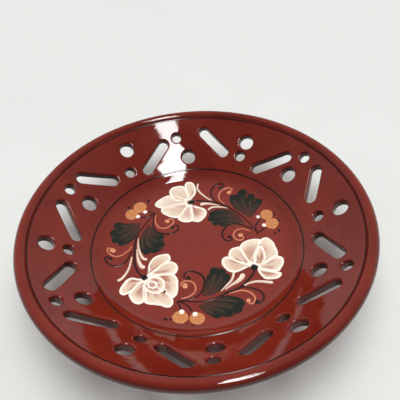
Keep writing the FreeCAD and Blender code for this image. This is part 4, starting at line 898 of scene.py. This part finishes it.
def dress_plate():
    """New materials on the body and the band lines, then the three painted sprays."""
    clay = clay_material()
    band = band_material()
    finishes = {
        "plate_body": (clay, "red_brown_glaze"),
        "outer_band_line": (band, "black_brown_slip"),
        "inner_band_line": (band, "black_brown_slip"),
    }
    for name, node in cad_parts.items():
        if name in finishes:
            material, slot = finishes[name]
            node.data.materials.clear()
            node.data.materials.append(material)
    # how rough each slip is, from its smoothest to its roughest, and how much its tone varies
    paints = {
        "cream": slip_material("cream_slip_glazed", 0.08, 0.16, 0.08),
        "green": slip_material("dark_green_slip_glazed", 0.14, 0.22, 0.2),
        "ochre": slip_material("ochre_slip_glazed", 0.13, 0.2, 0.12),
        "black": slip_material("black_brown_slip_glazed", 0.1, 0.18, 0.2),
    }
    for number, spray in enumerate(SPRAYS, start=1):
        paint_spray(spray, number, paints)


# ---------------------------------------------------------------------- stage
# Lengths in metres.
TABLE_HALF = 3.0
WINDOW_HEIGHT = 1.0


def stage_floor():
    mesh = bpy.data.meshes.new("table")
    corners = [(sx * TABLE_HALF, sy * TABLE_HALF, 0) for sx, sy in ((-1, -1), (1, -1), (1, 1), (-1, 1))]
    mesh.from_pydata(corners, [], [(0, 1, 2, 3)])
    table = bpy.data.objects.new("table", mesh)
    bpy.context.scene.collection.objects.link(table)
    shader = Shader("pale_table")
    cloud = shader.noise(shader.coordinates("Object"), 6.0, 3.0)
    colour = shader.mix(shader.ramp(cloud, 0.0, 1.0, 0.3, 0.7), TABLE_DEEP, TABLE_PALE)
    shader.link(colour, shader.surface["Base Color"])
    shader.surface["Roughness"].default_value = 0.6
    mesh.materials.append(shader.material)


def room():
    """A bright room that is darker overhead towards the front, and dark in front."""
    world = bpy.data.worlds.new("studio")
    bpy.context.scene.world = world
    world.use_nodes = True
    sky = Nodes(world.node_tree)
    x, y, z = sky.split(sky.coordinates("Generated"))
    front = sky.ramp(y, 0.0, 1.0, 0.35, -0.45)
    overhead = sky.mix(front, (0.46, 0.46, 0.455), (0.16, 0.165, 0.17))
    horizon = sky.mix(front, (0.62, 0.63, 0.63), (0.20, 0.205, 0.21))
    low = sky.ramp(z, 0.0, 1.0, 0.6, 0.2)
    light = sky.mix(low, overhead, horizon)
    sky.link(light, sky.nodes["Background"].inputs["Color"])


def add_lamp(name, kind, power, direction, place=(0, 0, 0)):
    data = bpy.data.lights.new(name, kind)
    data.energy = power
    lamp = bpy.data.objects.new(name, data)
    bpy.context.scene.collection.objects.link(lamp)
    lamp.location = place
    lamp.rotation_mode = "QUATERNION"
    lamp.rotation_quaternion = Vector(direction).to_track_quat("-Z", "Y")
    return lamp


def lighting():
    room()
    # two broad soft lights, overhead and from behind, that the glaze doesn't mirror
    for name, power, spread, direction in (
        ("soft_top", 1.85, 50, (-0.05, 0.0, -1.0)),
        ("soft_back", 0.78, 60, (-0.15, -0.35, -1.0)),
    ):
        lamp = add_lamp(name, "SUN", power, direction)
        lamp.data.angle = math.radians(spread)
        lamp.visible_glossy = False
    # the window that the far rim mirrors: it lights nothing else
    for name, x, y, width, depth, power in (
        ("window", 0.18, -0.43, 0.24, 0.30, 6.0),
        ("window_side", 0.12, -0.13, 0.12, 0.3, 2.6),
    ):
        lamp = add_lamp(name, "AREA", power, (0, 0, -WINDOW_HEIGHT), (x, y, WINDOW_HEIGHT))
        lamp.data.shape = "RECTANGLE"
        lamp.data.size = width
        lamp.data.size_y = depth
        lamp.visible_diffuse = False


# The camera looks down on the plate at about 45 degrees, turned and rolled a little.
CAMERA_PLACE = (0.0049, -0.2128, 0.2743)
CAMERA_RIGHT = (0.99704, -0.05465, -0.05408)
CAMERA_UP = (0.07688, 0.70870, 0.70132)


def camera():
    data = bpy.data.cameras.new("camera")
    data.lens = 39.6
    data.sensor_width = 36.0
    data.clip_start = 0.01
    lens = bpy.data.objects.new("camera", data)
    bpy.context.scene.collection.objects.link(lens)
    right = Vector(CAMERA_RIGHT).normalized()
    back = right.cross(Vector(CAMERA_UP)).normalized()
    up = back.cross(right)
    turn = Matrix((right, up, back)).transposed()
    lens.matrix_world = Matrix.Translation(CAMERA_PLACE) @ turn.to_4x4()
    bpy.context.scene.camera = lens


dress_plate()
stage_floor()
lighting()
camera()
bpy.context.scene.view_settings.view_transform = "Standard"
